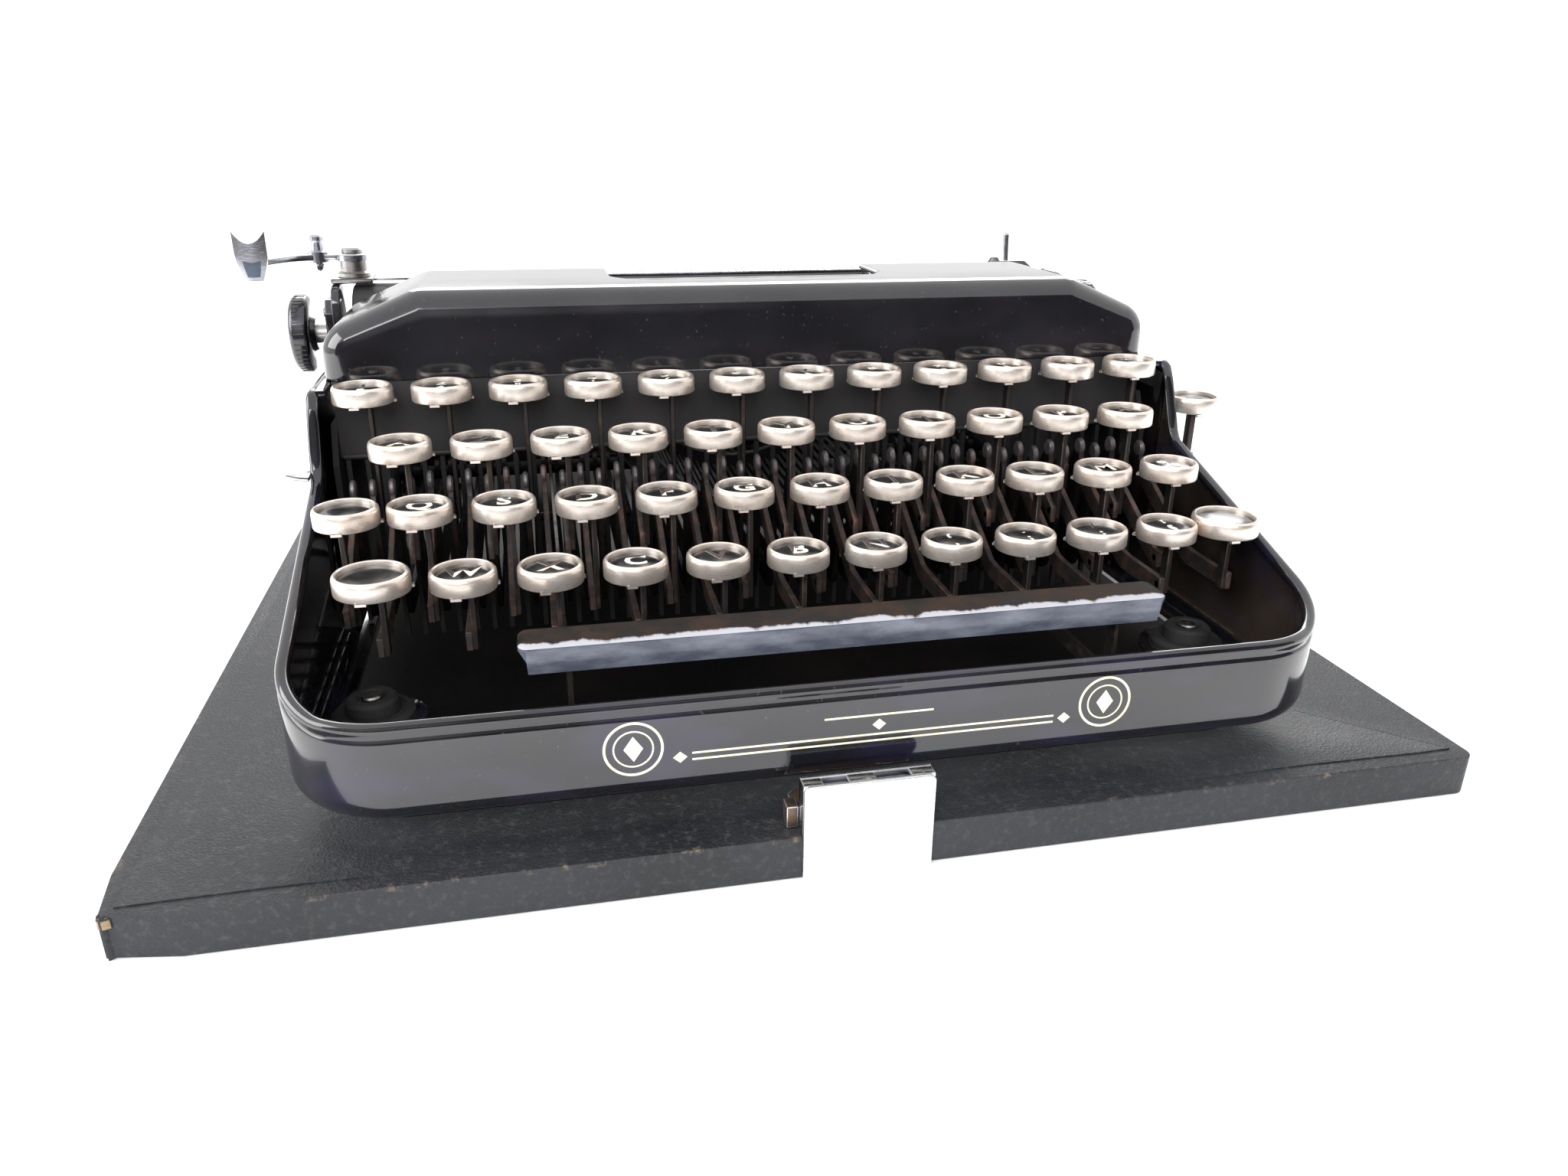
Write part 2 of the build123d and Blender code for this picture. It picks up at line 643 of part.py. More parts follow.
# ---------------------------------------------------------------- space bar
with BuildPart() as space_channel:
    with BuildSketch(side_plane(BAR_LEFT)):
        with BuildLine():
            Polyline(
                *side_points(
                    [
                        (BAR_FRONT, 44.5),
                        (BAR_FRONT, BAR_TOP - 1.5),
                        (BAR_FRONT + 1.5, BAR_TOP),
                        (BAR_BACK - 1.5, BAR_TOP),
                        (BAR_BACK, BAR_TOP - 1.5),
                        (BAR_BACK, 46.5),
                        (BAR_BACK - 1.3, 46.5),
                        (BAR_BACK - 1.3, BAR_TOP - 1.6),
                        (BAR_FRONT + 1.3, BAR_TOP - 1.6),
                        (BAR_FRONT + 1.3, 44.5),
                    ]
                ),
                close=True,
            )
        make_face()
    extrude(amount=BAR_RIGHT - BAR_LEFT)
space_pieces = [space_channel.part]
for slot in BAR_ARM_SLOTS:
    arm_x = slot * SLOT_PITCH + BAR_ARM_SHIFT
    with BuildPart() as space_arm:
        with BuildSketch(side_plane(arm_x - BAR_ARM_THICK / 2)):
            with BuildLine():
                Polyline(
                    *side_points(
                        [
                            (20.5, BAR_TOP - 1.6),
                            (20.5, 27.0),
                            (PIVOT_BACK, 27.0),
                            (PIVOT_BACK, 32.0),
                            (30.0, 31.0),
                            (24.0, 34.0),
                            (24.0, BAR_TOP - 1.6),
                        ]
                    ),
                    close=True,
                )
            make_face()
            with Locations((back(PIVOT_BACK), PIVOT_Z)):
                Circle(HUB_RADIUS)
                Circle(SHAFT_RADIUS + RUNNING, mode=Mode.SUBTRACT)
        extrude(amount=BAR_ARM_THICK)
    space_pieces.append(space_arm.part)
group("space_bar", space_pieces)


# ---------------------------------------------------------------- carriage
def end_plate(x):
    """Carriage end plate with the platen axle's bore."""
    with BuildPart() as plate:
        with BuildSketch(side_plane(x)):
            with BuildLine():
                Polyline(
                    *side_points(
                        [(177, 70), (213.5, 70), (213.5, 90), (203, 100), (196, 102.6), (184, 102.6)]
                        + [(177, 94)]
                    ),
                    close=True,
                )
            make_face()
            with Locations((back(PLATEN_BACK), PLATEN_Z)):
                Circle(AXLE_RADIUS + RUNNING, mode=Mode.SUBTRACT)
        extrude(amount=END_THICK)
    return plate.part


carriage = [end_plate(END_INNER), end_plate(-END_INNER - END_THICK)]
END_OUTER = END_INNER + END_THICK
carriage.append(block((-END_OUTER, 177, CARRIAGE_BOTTOM), (END_OUTER, 213.5, 70)))
carriage.append(block((-END_OUTER, 184, 102.6), (-109, 196, 104.2)))
carriage.append(block((-END_INNER, 210.5, 71.5), (END_INNER, 213.5, 77)))
with BuildPart() as paper_table:
    with BuildSketch(side_plane(-TABLE_HALF + 1.5)):
        with BuildLine():
            Polyline(
                *side_points(
                    [(207, 70), (208.4, 70), (208.4, 85), (211, 93), (217, 101.7), (215.6, 101.7)]
                    + [(209.6, 93.4), (207, 85.2)]
                ),
                close=True,
            )
        make_face()
    extrude(amount=2 * TABLE_HALF - 3)
carriage.append(paper_table.part)
for side in (-1, 1):
    with BuildPart() as table_ear:
        with BuildSketch(side_plane(min(side * TABLE_HALF, side * (TABLE_HALF - 1.5)))):
            with BuildLine():
                Polyline(
                    *side_points([(207, 70), (217, 70), (217, 101.7), (211, 101.7), (207, 92)]),
                    close=True,
                )
            make_face()
        extrude(amount=1.5)
    carriage.append(table_ear.part)
    pin_x = sorted((side * TABLE_HALF, side * (TABLE_HALF + 3)))
    carriage.append(cross_rod(pin_x[0], pin_x[1], *BAIL_PIVOT, 1.5))
carriage.append(cross_rod(108.5, END_INNER, *RELEASE_PIVOT, 1.5))
with BuildPart() as return_pin:
    with BuildSketch(Plane.XY.offset(104.2)):
        with Locations((RETURN_PIVOT[0], back(RETURN_PIVOT[1]))):
            Circle(2.0)
    extrude(amount=RETURN_ARM_Z + 2.0 - 104.2)
    with BuildSketch(Plane.XY.offset(RETURN_ARM_Z + 2.0)):
        with Locations((RETURN_PIVOT[0], back(RETURN_PIVOT[1]))):
            Circle(3.2)
    extrude(amount=1.6)
carriage.append(return_pin.part)
group("carriage_frame", carriage)

with BuildPart() as platen_roller:
    with BuildSketch(side_plane(-PLATEN_HALF)):
        with Locations((back(PLATEN_BACK), PLATEN_Z)):
            Circle(PLATEN_RADIUS)
            Circle(AXLE_RADIUS, mode=Mode.SUBTRACT)
    extrude(amount=2 * PLATEN_HALF)
platen_pieces = [platen_roller.part]
platen_pieces.append(cross_rod(-KNOB_INNER, KNOB_INNER, PLATEN_BACK, PLATEN_Z, AXLE_RADIUS))
for side in (-1, 1):
    knob_x = min(side * KNOB_INNER, side * KNOB_OUTER)
    with BuildPart() as knob:
        with BuildSketch(side_plane(knob_x)):
            with Locations((back(PLATEN_BACK), PLATEN_Z)):
                Circle(KNOB_RADIUS)
        extrude(amount=KNOB_OUTER - KNOB_INNER)
        fillet(knob.edges().filter_by(GeomType.CIRCLE), 1.8)
    platen_pieces.append(knob.part)
group("platen", platen_pieces)

# carriage return lever
with BuildPart() as return_lever:
    with BuildLine():
        return_path = ThreePointArc(
            (RETURN_PIVOT[0], back(RETURN_PIVOT[1])),
            (-131.5, back(186.5)),
            (RETURN_TIP[0], back(RETURN_TIP[1])),
        )
    with BuildSketch(Plane.XY.offset(RETURN_ARM_Z)):
        SlotArc(return_path, 5.0)
        with Locations((RETURN_PIVOT[0], back(RETURN_PIVOT[1]))):
            Circle(5.0)
            Circle(2.0 + RUNNING, mode=Mode.SUBTRACT)
    extrude(amount=1.8)
    with Locations((RETURN_TIP[0], back(RETURN_TIP[1]), 112.5)):
        Box(9.0, 1.8, 14.0)
    with Locations((RETURN_PIVOT[0], back(RETURN_PIVOT[1]), (RETURN_ARM_Z + 104.3) / 2)):
        Cylinder(5.0, RETURN_ARM_Z - 104.3)
        Cylinder(2.0 + RUNNING, 20.0, mode=Mode.SUBTRACT)
write(return_lever.part, "return_lever")

# paper bail over the platen
BAIL_BAR = (183.0, 189.0, 103.5, 104.9)
bail_pieces = [
    block((-60, BAIL_BAR[0], BAIL_BAR[2]), (60, BAIL_BAR[1], BAIL_BAR[3])),
]
for side in (-1, 1):
    with BuildPart() as bail_arm:
        with BuildSketch(side_plane(min(side * 60, side * (TABLE_HALF + 0.5)))):
            with BuildLine():
                Polyline(
                    *side_points(
                        [(BAIL_BAR[1], 103.0), (196, 102.1), (204, 98.8), (211, 94.6), (215, 99)]
                        + [(206, 103.5), (197, 105), (BAIL_BAR[1], 104.9)]
                    ),
                    close=True,
                )
            make_face()
            with Locations((back(BAIL_PIVOT[0]), BAIL_PIVOT[1])):
                Circle(3.6)
                Circle(1.5 + RUNNING, mode=Mode.SUBTRACT)
        extrude(amount=1.5)
    bail_pieces.append(bail_arm.part)
group("paper_bail", bail_pieces)

# paper release lever
with BuildPart() as release_lever:
    with BuildSketch(side_plane(110.0)):
        with BuildLine():
            Polyline(
                *side_points([(209, 93), (212, 93), (213.4, 114.5), (210.2, 114.5)]), close=True
            )
        make_face()
        with Locations((back(RELEASE_PIVOT[0]), RELEASE_PIVOT[1])):
            Circle(3.4)
            Circle(1.5 + RUNNING, mode=Mode.SUBTRACT)
    extrude(amount=2.0)
write(release_lever.part, "paper_release_lever")
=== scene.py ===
import math
import random

import bmesh
import bpy
from mathutils import Matrix, Vector


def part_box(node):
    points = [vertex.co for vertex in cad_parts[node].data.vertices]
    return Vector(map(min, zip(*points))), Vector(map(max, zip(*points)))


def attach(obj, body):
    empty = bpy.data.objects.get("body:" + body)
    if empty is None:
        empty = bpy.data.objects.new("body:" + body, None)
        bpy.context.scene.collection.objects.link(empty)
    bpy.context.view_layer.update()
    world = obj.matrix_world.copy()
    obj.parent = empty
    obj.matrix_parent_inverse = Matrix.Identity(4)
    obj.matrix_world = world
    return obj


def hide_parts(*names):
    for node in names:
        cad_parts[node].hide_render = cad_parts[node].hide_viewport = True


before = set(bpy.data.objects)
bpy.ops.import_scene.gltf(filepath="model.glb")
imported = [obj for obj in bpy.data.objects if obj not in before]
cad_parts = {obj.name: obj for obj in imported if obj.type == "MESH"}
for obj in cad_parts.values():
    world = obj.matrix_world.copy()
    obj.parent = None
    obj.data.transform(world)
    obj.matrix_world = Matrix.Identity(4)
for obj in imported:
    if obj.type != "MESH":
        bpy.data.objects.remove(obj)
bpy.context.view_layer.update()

# Lengths here are millimetres in the row frame: +Z up, -Y towards the typist.
MM = 0.001
random.seed(9)


def corners(node):
    """Lowest and highest corner of a CAD node, in millimetres."""
    low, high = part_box(node)
    return low / MM, high / MM


BOARD_LOW, BOARD_HIGH = corners("case_board")
COVER_LOW, COVER_HIGH = corners("top_cover")
PLATEN_LOW, PLATEN_HIGH = corners("platen")
FRONT = BOARD_LOW.y


def back(distance):
    """Y of a place this far back from the board's front edge."""
    return FRONT + distance


# ---------------------------------------------------------------- camera, light and floor
CAMERA_PLACE = Vector((-61.43, -343.01, 146.78))
CAMERA_RIGHT = Vector((0.97700, -0.21312, 0.00752))
CAMERA_DOWN = Vector((-0.07313, -0.36795, -0.92697))
CAMERA_FORWARD = Vector((0.20033, 0.90509, -0.37507))
SENSOR_WIDTH, FOCAL_LENGTH = 36.0, 25.81


def make_camera():
    """Camera at the photograph's viewing angle."""
    data = bpy.data.cameras.new("camera")
    data.sensor_width = SENSOR_WIDTH
    data.lens = FOCAL_LENGTH
    data.clip_start = 0.01
    data.dof.use_dof = False
    camera = bpy.data.objects.new("camera", data)
    axes = (CAMERA_RIGHT, -CAMERA_DOWN, -CAMERA_FORWARD)
    turn = Matrix([[axis[row] for axis in axes] for row in range(3)])
    camera.matrix_world = Matrix.Translation(CAMERA_PLACE * MM) @ turn.to_4x4()
    bpy.context.scene.collection.objects.link(camera)
    bpy.context.scene.camera = camera


def area_light(name, place, target, size, power, tint=(1, 1, 1)):
    """Soft rectangular light at a place, aimed at a target, in metres."""
    data = bpy.data.lights.new(name, "AREA")
    data.shape = "RECTANGLE"
    data.size, data.size_y = size
    data.energy = power
    data.color = tint
    light = bpy.data.objects.new(name, data)
    light.location = Vector(place)
    aim = Vector(target) - Vector(place)
    light.rotation_euler = aim.to_track_quat("-Z", "Y").to_euler()
    bpy.context.scene.collection.objects.link(light)


def make_flag():
    """Dark card before the object that only reflections see, for depth in the gloss enamel."""
    mesh = bpy.data.meshes.new("dark_flag")
    half, near, far, top = 0.9, -0.40, -0.75, 0.42
    mesh.from_pydata(
        [(-half, near, 0.002), (half, near, 0.002), (half, near, top), (-half, near, top),
         (half, far, top), (-half, far, top)],
        [],
        [(0, 1, 2, 3), (3, 2, 4, 5)],
    )
    flag = bpy.data.objects.new("dark_flag", mesh)
    material, _, shader = new_material("dark_card")
    shader.inputs["Base Color"].default_value = (0.03, 0.022, 0.018, 1)
    shader.inputs["Roughness"].default_value = 0.9
    mesh.materials.append(material)
    for ray in ("camera", "diffuse", "transmission", "volume_scatter", "shadow"):
        setattr(flag, f"visible_{ray}", False)
    bpy.context.scene.collection.objects.link(flag)


def make_studio():
    """White world, three soft windows, the dark card and a plain pale floor."""
    world = bpy.data.worlds.new("white_room")
    world.use_nodes = True
    shade = world.node_tree.nodes["Background"]
    shade.inputs["Color"].default_value = (1.0, 1.0, 1.0, 1)
    shade.inputs["Strength"].default_value = 1.15
    bpy.context.scene.world = world
    bpy.context.scene.view_settings.view_transform = "Standard"
    area_light("front_window", (-0.5, -1.5, 0.9), (0, 0, 0.05), (1.6, 0.9), 30, (0.97, 0.98, 1.0))
    area_light("left_window", (-1.5, -0.1, 0.8), (0, 0, 0.05), (1.2, 1.0), 18, (1.0, 0.99, 0.97))
    area_light("back_window", (0.3, 1.4, 0.9), (0, 0, 0.1), (1.8, 0.8), 24)
    make_flag()
    floor_mesh = bpy.data.meshes.new("floor")
    reach = 6.0
    floor_mesh.from_pydata(
        [(-reach, -reach, 0), (reach, -reach, 0), (reach, reach, 0), (-reach, reach, 0)],
        [],
        [(0, 1, 2, 3)],
    )
    floor = bpy.data.objects.new("floor", floor_mesh)
    floor.location.z = -0.0002
    material, _, shader = new_material("pale_floor")
    shader.inputs["Base Color"].default_value = (0.97, 0.97, 0.97, 1)
    shader.inputs["Roughness"].default_value = 0.7
    floor_mesh.materials.append(material)
    bpy.context.scene.collection.objects.link(floor)


# ---------------------------------------------------------------- materials
def new_material(name):
    material = bpy.data.materials.new(name)
    material.use_nodes = True
    tree = material.node_tree
    return material, tree, tree.nodes["Principled BSDF"]


def object_coords(tree):
    return tree.nodes.new("ShaderNodeTexCoord").outputs["Object"]


def noise(tree, scale, detail=4.0, rough=0.55, stretch=None):
    """Noise over the object, scale in waves per metre; stretch scales the axes first."""
    node = tree.nodes.new("ShaderNodeTexNoise")
    node.inputs["Scale"].default_value = scale
    node.inputs["Detail"].default_value = detail
    node.inputs["Roughness"].default_value = rough
    source = object_coords(tree)
    if stretch:
        mapping = tree.nodes.new("ShaderNodeMapping")
        mapping.inputs["Scale"].default_value = stretch
        tree.links.new(source, mapping.inputs["Vector"])
        source = mapping.outputs["Vector"]
    tree.links.new(source, node.inputs["Vector"])
    return node.outputs["Fac"]


def remap(tree, value, from_low, from_high, to_low=0.0, to_high=1.0):
    node = tree.nodes.new("ShaderNodeMapRange")
    node.inputs["From Min"].default_value = from_low
    node.inputs["From Max"].default_value = from_high
    node.inputs["To Min"].default_value = to_low
    node.inputs["To Max"].default_value = to_high
    tree.links.new(value, node.inputs["Value"])
    return node.outputs["Result"]


def math_node(tree, operation, first, second):
    node = tree.nodes.new("ShaderNodeMath")
    node.operation = operation
    for socket, value in zip(node.inputs, (first, second)):
        if isinstance(value, (int, float)):
            socket.default_value = value
        else:
            tree.links.new(value, socket)
    return node.outputs["Value"]


def mix_colour(tree, factor, first, second):
    node = tree.nodes.new("ShaderNodeMix")
    node.data_type = "RGBA"
    tree.links.new(factor, node.inputs["Factor"])
    for socket, value in ((node.inputs[6], first), (node.inputs[7], second)):
        if isinstance(value, tuple):
            socket.default_value = (*value, 1)
        else:
            tree.links.new(value, socket)
    return node.outputs[2]


def bump(tree, shader, height, strength, distance):
    node = tree.nodes.new("ShaderNodeBump")
    node.inputs["Strength"].default_value = strength
    node.inputs["Distance"].default_value = distance
    tree.links.new(height, node.inputs["Height"])
    tree.links.new(node.outputs["Normal"], shader.inputs["Normal"])
    return node


def edge_wear(tree, low, high):
    """1 on convex edges, 0 elsewhere, from the mesh's pointiness."""
    geometry = tree.nodes.new("ShaderNodeNewGeometry")
    return remap(tree, geometry.outputs["Pointiness"], low, high)


def plan_border(tree, half_x, half_y, reach, height):
    """1 at the rectangle's border in plan and above this height, falling to 0 this far inside it."""
    place = tree.nodes.new("ShaderNodeSeparateXYZ")
    tree.links.new(object_coords(tree), place.inputs["Vector"])
    upper = remap(tree, place.outputs["Z"], height - 0.6 * MM, height)
    across = remap(tree, math_node(tree, "ABSOLUTE", place.outputs["X"], 0), half_x - reach, half_x)
    along = remap(tree, math_node(tree, "ABSOLUTE", place.outputs["Y"], 0), half_y - reach, half_y)
    return math_node(tree, "MULTIPLY", upper, math_node(tree, "MAXIMUM", across, along))


def black_enamel(name, rough=0.09, worn=0.0, tint=(0.014, 0.012, 0.030)):
    """Stoved gloss enamel: deep blue-black, faint orange peel, hazy patches where hands rub."""
    material, tree, shader = new_material(name)
    haze = remap(tree, noise(tree, 22, 5), 0.38, 0.72)
    tone = mix_colour(tree, haze, (0.0035, 0.0036, 0.0052), (0.009, 0.0095, 0.013))
    tints = remap(tree, noise(tree, 34, 3, 0.5, (1, 1, 2.5)), 0.52, 0.72)
    tone = mix_colour(tree, tints, tone, tint)
    specks = remap(tree, noise(tree, 900, 2), 0.70, 0.74)
    tone = mix_colour(tree, specks, tone, (0.035, 0.032, 0.03))
    if worn:
        edges = math_node(tree, "MULTIPLY", edge_wear(tree, 0.52, 0.60), haze)
        edges = math_node(tree, "MULTIPLY", edges, worn)
        tone = mix_colour(tree, edges, tone, (0.16, 0.11, 0.07))
    tree.links.new(tone, shader.inputs["Base Color"])
    tree.links.new(remap(tree, haze, 0, 1, rough, rough + 0.10), shader.inputs["Roughness"])
    shader.inputs["Specular IOR Level"].default_value = 0.62
    shader.inputs["Coat Weight"].default_value = 0.55
    shader.inputs["Coat Roughness"].default_value = 0.04
    shader.inputs["Coat IOR"].default_value = 1.6
    bump(tree, shader, noise(tree, 160, 2), 0.035, 0.0008)
    return material


def leatherette():
    """Black book-cloth over plywood: pressed grain, rubbed lighter in patches and at the edges."""
    material, tree, shader = new_material("leatherette")
    cells = tree.nodes.new("ShaderNodeTexVoronoi")
    cells.inputs["Scale"].default_value = 1500
    tree.links.new(object_coords(tree), cells.inputs["Vector"])
    grain = math_node(tree, "ADD", cells.outputs["Distance"], noise(tree, 700, 6, 0.7))
    patches = remap(tree, noise(tree, 14, 6, 0.65), 0.35, 0.7)
    tone = mix_colour(tree, patches, (0.012, 0.013, 0.0155), (0.026, 0.0275, 0.032))
    fine = remap(tree, noise(tree, 520, 5, 0.7), 0.52, 0.75)
    tone = mix_colour(tree, fine, tone, (0.05, 0.051, 0.054))
    border = plan_border(tree, 150.6 * MM, 149.6 * MM, 1.3 * MM, 9.4 * MM)
    rubbed = math_node(tree, "MULTIPLY", border, remap(tree, noise(tree, 210, 6, 0.75), 0.56, 0.66))
    tone = mix_colour(tree, rubbed, tone, (0.12, 0.092, 0.066))
    broad = math_node(tree, "MULTIPLY", plan_border(tree, 150 * MM, 149 * MM, 30 * MM, 9.8 * MM),
                      remap(tree, noise(tree, 48, 6, 0.7, (1, 2, 1)), 0.60, 0.72, 0, 0.3))
    tone = mix_colour(tree, broad, tone, (0.050, 0.043, 0.037))
    tree.links.new(tone, shader.inputs["Base Color"])
    tree.links.new(remap(tree, patches, 0, 1, 0.42, 0.60), shader.inputs["Roughness"])
    shader.inputs["Specular IOR Level"].default_value = 0.45
    bump(tree, shader, grain, 0.5, 0.00022)
    return material


def painted_shade_cloth():
    """The same cloth under and round the machine, dark and dull as painted shade where the machine keeps
    light off it, with a faint dusty mottle.
    """
    material, tree, shader = new_material("painted_shade_cloth")
    dust = remap(tree, noise(tree, 26, 5), 0.4, 0.7)
    tree.links.new(mix_colour(tree, dust, (0.0035, 0.0032, 0.0032), (0.010, 0.008, 0.007)),
                   shader.inputs["Base Color"])
    shader.inputs["Roughness"].default_value = 0.9
    shader.inputs["Specular IOR Level"].default_value = 0.1
    bump(tree, shader, noise(tree, 700, 6, 0.7), 0.4, 0.0002)
    return material


def bare_wood():
    """Plywood where the cover is chipped off."""
    material, tree, shader = new_material("bare_plywood")
    layers = noise(tree, 60, 5, 0.6, (1, 1, 14))
    tone = mix_colour(tree, remap(tree, layers, 0.35, 0.65), (0.18, 0.115, 0.065), (0.40, 0.29, 0.18))
    tree.links.new(tone, shader.inputs["Base Color"])
    shader.inputs["Roughness"].default_value = 0.85
    bump(tree, shader, noise(tree, 900, 4), 0.8, 0.0005)
    return material


def plated(name, tone, tarnish, rough, rust=0.0, metallic=1.0):
    """Bright plate with soft tarnish, fine scratches and optional rust freckles."""
    material, tree, shader = new_material(name)
    clouds = remap(tree, noise(tree, 120, 5, 0.6), 0.35, 0.75)
    colour = mix_colour(tree, clouds, tone, tarnish)
    if rust:
        freckles = remap(tree, noise(tree, 240, 6, 0.7), 0.60, 0.68, 0, rust)
        colour = mix_colour(tree, freckles, colour, (0.19, 0.085, 0.035))
        tree.links.new(remap(tree, freckles, 0, 1, 1, 0.25), shader.inputs["Metallic"])
    else:
        shader.inputs["Metallic"].default_value = metallic
    tree.links.new(colour, shader.inputs["Base Color"])
    scratches = noise(tree, 500, 3, 0.6, (1, 1, 9))
    tree.links.new(remap(tree, scratches, 0.3, 0.8, rough, rough + 0.14), shader.inputs["Roughness"])
    bump(tree, shader, scratches, 0.05, 0.0002)
    return material


def dark_steel(name, base, rust, spread, rough=0.42, metallic=0.75):
    """Blued strip steel with brown rust bloom, stronger where spread is larger."""
    material, tree, shader = new_material(name)
    bloom = remap(tree, noise(tree, 190, 6, 0.7), 0.60 - spread, 0.74 - spread)
    broad = remap(tree, noise(tree, 30, 3), 0.35, 0.65)
    colour = mix_colour(tree, math_node(tree, "MULTIPLY", bloom, broad), base, rust)
    tree.links.new(colour, shader.inputs["Base Color"])
    shader.inputs["Metallic"].default_value = metallic
    tree.links.new(remap(tree, bloom, 0, 1, rough, rough + 0.3), shader.inputs["Roughness"])
    bump(tree, shader, noise(tree, 1200, 4), 0.12, 0.0002)
    return material


def lever_finish():
    """Lever strip: near black at the back as painted shade where it runs in under the cover, bare and
    rust-brown on the front arm.
    """
    material, tree, shader = new_material("lever_steel")
    place = tree.nodes.new("ShaderNodeSeparateXYZ")
    tree.links.new(object_coords(tree), place.inputs["Vector"])
    ripple = math_node(tree, "MULTIPLY", noise(tree, 70, 3), 0.02)
    front = remap(tree, math_node(tree, "ADD", place.outputs["Y"], ripple), back(110) * MM,
                  back(96) * MM)
    # painted shade: near black behind the front arm, where the levers run into the dark under the cover;
    # the front arm's rust is real
    dark = mix_colour(tree, noise(tree, 90, 4), (0.004, 0.004, 0.0045), (0.020, 0.015, 0.013))
    bloom = remap(tree, noise(tree, 190, 6, 0.7), 0.45, 0.66)
    bare = mix_colour(tree, bloom, (0.060, 0.053, 0.051), (0.155, 0.092, 0.070))
    tree.links.new(mix_colour(tree, front, dark, bare), shader.inputs["Base Color"])
    shader.inputs["Metallic"].default_value = 0.6
    shader.inputs["Roughness"].default_value = 0.45
    bump(tree, shader, noise(tree, 1200, 4), 0.12, 0.0002)
    return material


def matte(name, low, high, rough, scale=80, bump_strength=0.3, stretch=None, sheen=0.0):
    """Dull surface mottled between two tones."""
    material, tree, shader = new_material(name)
    clouds = noise(tree, scale, 5, 0.6, stretch)
    tree.links.new(mix_colour(tree, remap(tree, clouds, 0.35, 0.7), low, high),
                   shader.inputs["Base Color"])
    tree.links.new(remap(tree, clouds, 0.3, 0.7, rough, min(rough + 0.15, 1.0)),
                   shader.inputs["Roughness"])
    if sheen:
        shader.inputs["Sheen Weight"].default_value = sheen
    bump(tree, shader, noise(tree, scale * 9, 3), bump_strength, 0.0002)
    return material


def bar_front():
    """Space bar's front lip: gloss enamel with a bluish grey base and lighter streaks that are a painted
    reflection.
    """
    material, tree, shader = new_material("space_bar_gloss")
    # painted reflection: a bluish grey base with lighter streaks stands in for what the gloss lip reflects
    gloss = mix_colour(tree, remap(tree, noise(tree, 60, 5, 0.6, (1, 3, 3)), 0.4, 0.65),
                       (0.050, 0.055, 0.075), (0.125, 0.135, 0.165))
    tree.links.new(gloss, shader.inputs["Base Color"])
    shader.inputs["Roughness"].default_value = 0.16
    shader.inputs["Specular IOR Level"].default_value = 0.42
    bump(tree, shader, noise(tree, 260, 5), 0.10, 0.0004)
    return material


def bar_top():
    """Space bar's top: enamel rubbed to rough brown, with a light grey scalloped band along the front
    edge.
    """
    material, tree, shader = new_material("space_bar_worn")
    place = tree.nodes.new("ShaderNodeSeparateXYZ")
    tree.links.new(object_coords(tree), place.inputs["Vector"])
    front_y = SPACE_LOW.y * MM
    # a light grey scalloped band along the top's front edge
    scallop = math_node(tree, "MULTIPLY", noise(tree, 110, 4, 0.6, (1, 0.2, 0.2)), 0.0085)
    edge = math_node(tree, "SUBTRACT", place.outputs["Y"], scallop)
    bright = remap(tree, edge, front_y - 0.0026, front_y - 0.0034)
    clouds = remap(tree, noise(tree, 130, 6, 0.7), 0.42, 0.62)
    brown = mix_colour(tree, clouds, (0.006, 0.0045, 0.004), (0.034, 0.020, 0.013))
    tree.links.new(mix_colour(tree, bright, brown, (0.36, 0.36, 0.39)), shader.inputs["Base Color"])
    tree.links.new(remap(tree, clouds, 0, 1, 0.55, 0.75), shader.inputs["Roughness"])
    shader.inputs["Specular IOR Level"].default_value = 0.08
    bump(tree, shader, noise(tree, 420, 5), 0.3, 0.0003)
    return material


SPACE_LOW, SPACE_HIGH = corners("space_bar")
ENAMEL = black_enamel("casing_enamel", worn=0.35)
COVER_ENAMEL = black_enamel("cover_enamel", 0.07, tint=(0.012, 0.010, 0.014))
LEATHERETTE = leatherette()
# painted shade for the board under and round the machine
PAINTED_SHADE_CLOTH = painted_shade_cloth()
WOOD = bare_wood()
NICKEL = plated("key_ring_nickel", (0.86, 0.80, 0.74), (0.74, 0.62, 0.53), 0.26, metallic=0.82)
LOCK_PLATE = plated("lock_nickel", (0.94, 0.95, 0.98), (0.80, 0.81, 0.86), 0.24, metallic=0.9)
LOCK_RUSTED = plated("lock_tarnished", (0.26, 0.20, 0.16), (0.15, 0.095, 0.065), 0.5, 0.9)
CHROME = plated("lever_chrome", (0.66, 0.68, 0.73), (0.42, 0.44, 0.50), 0.16)
STEEL = dark_steel("stem_steel", (0.055, 0.049, 0.047), (0.125, 0.076, 0.056), 0.08, 0.38)
LEVER_STEEL = lever_finish()
CHASSIS_STEEL = matte("chassis_paint", (0.005, 0.005, 0.0055), (0.012, 0.010, 0.010), 0.6, 40, 0.05)
HEAD_STEEL = dark_steel("lug_steel", (0.20, 0.185, 0.19), (0.17, 0.085, 0.055), 0.10, 0.4)
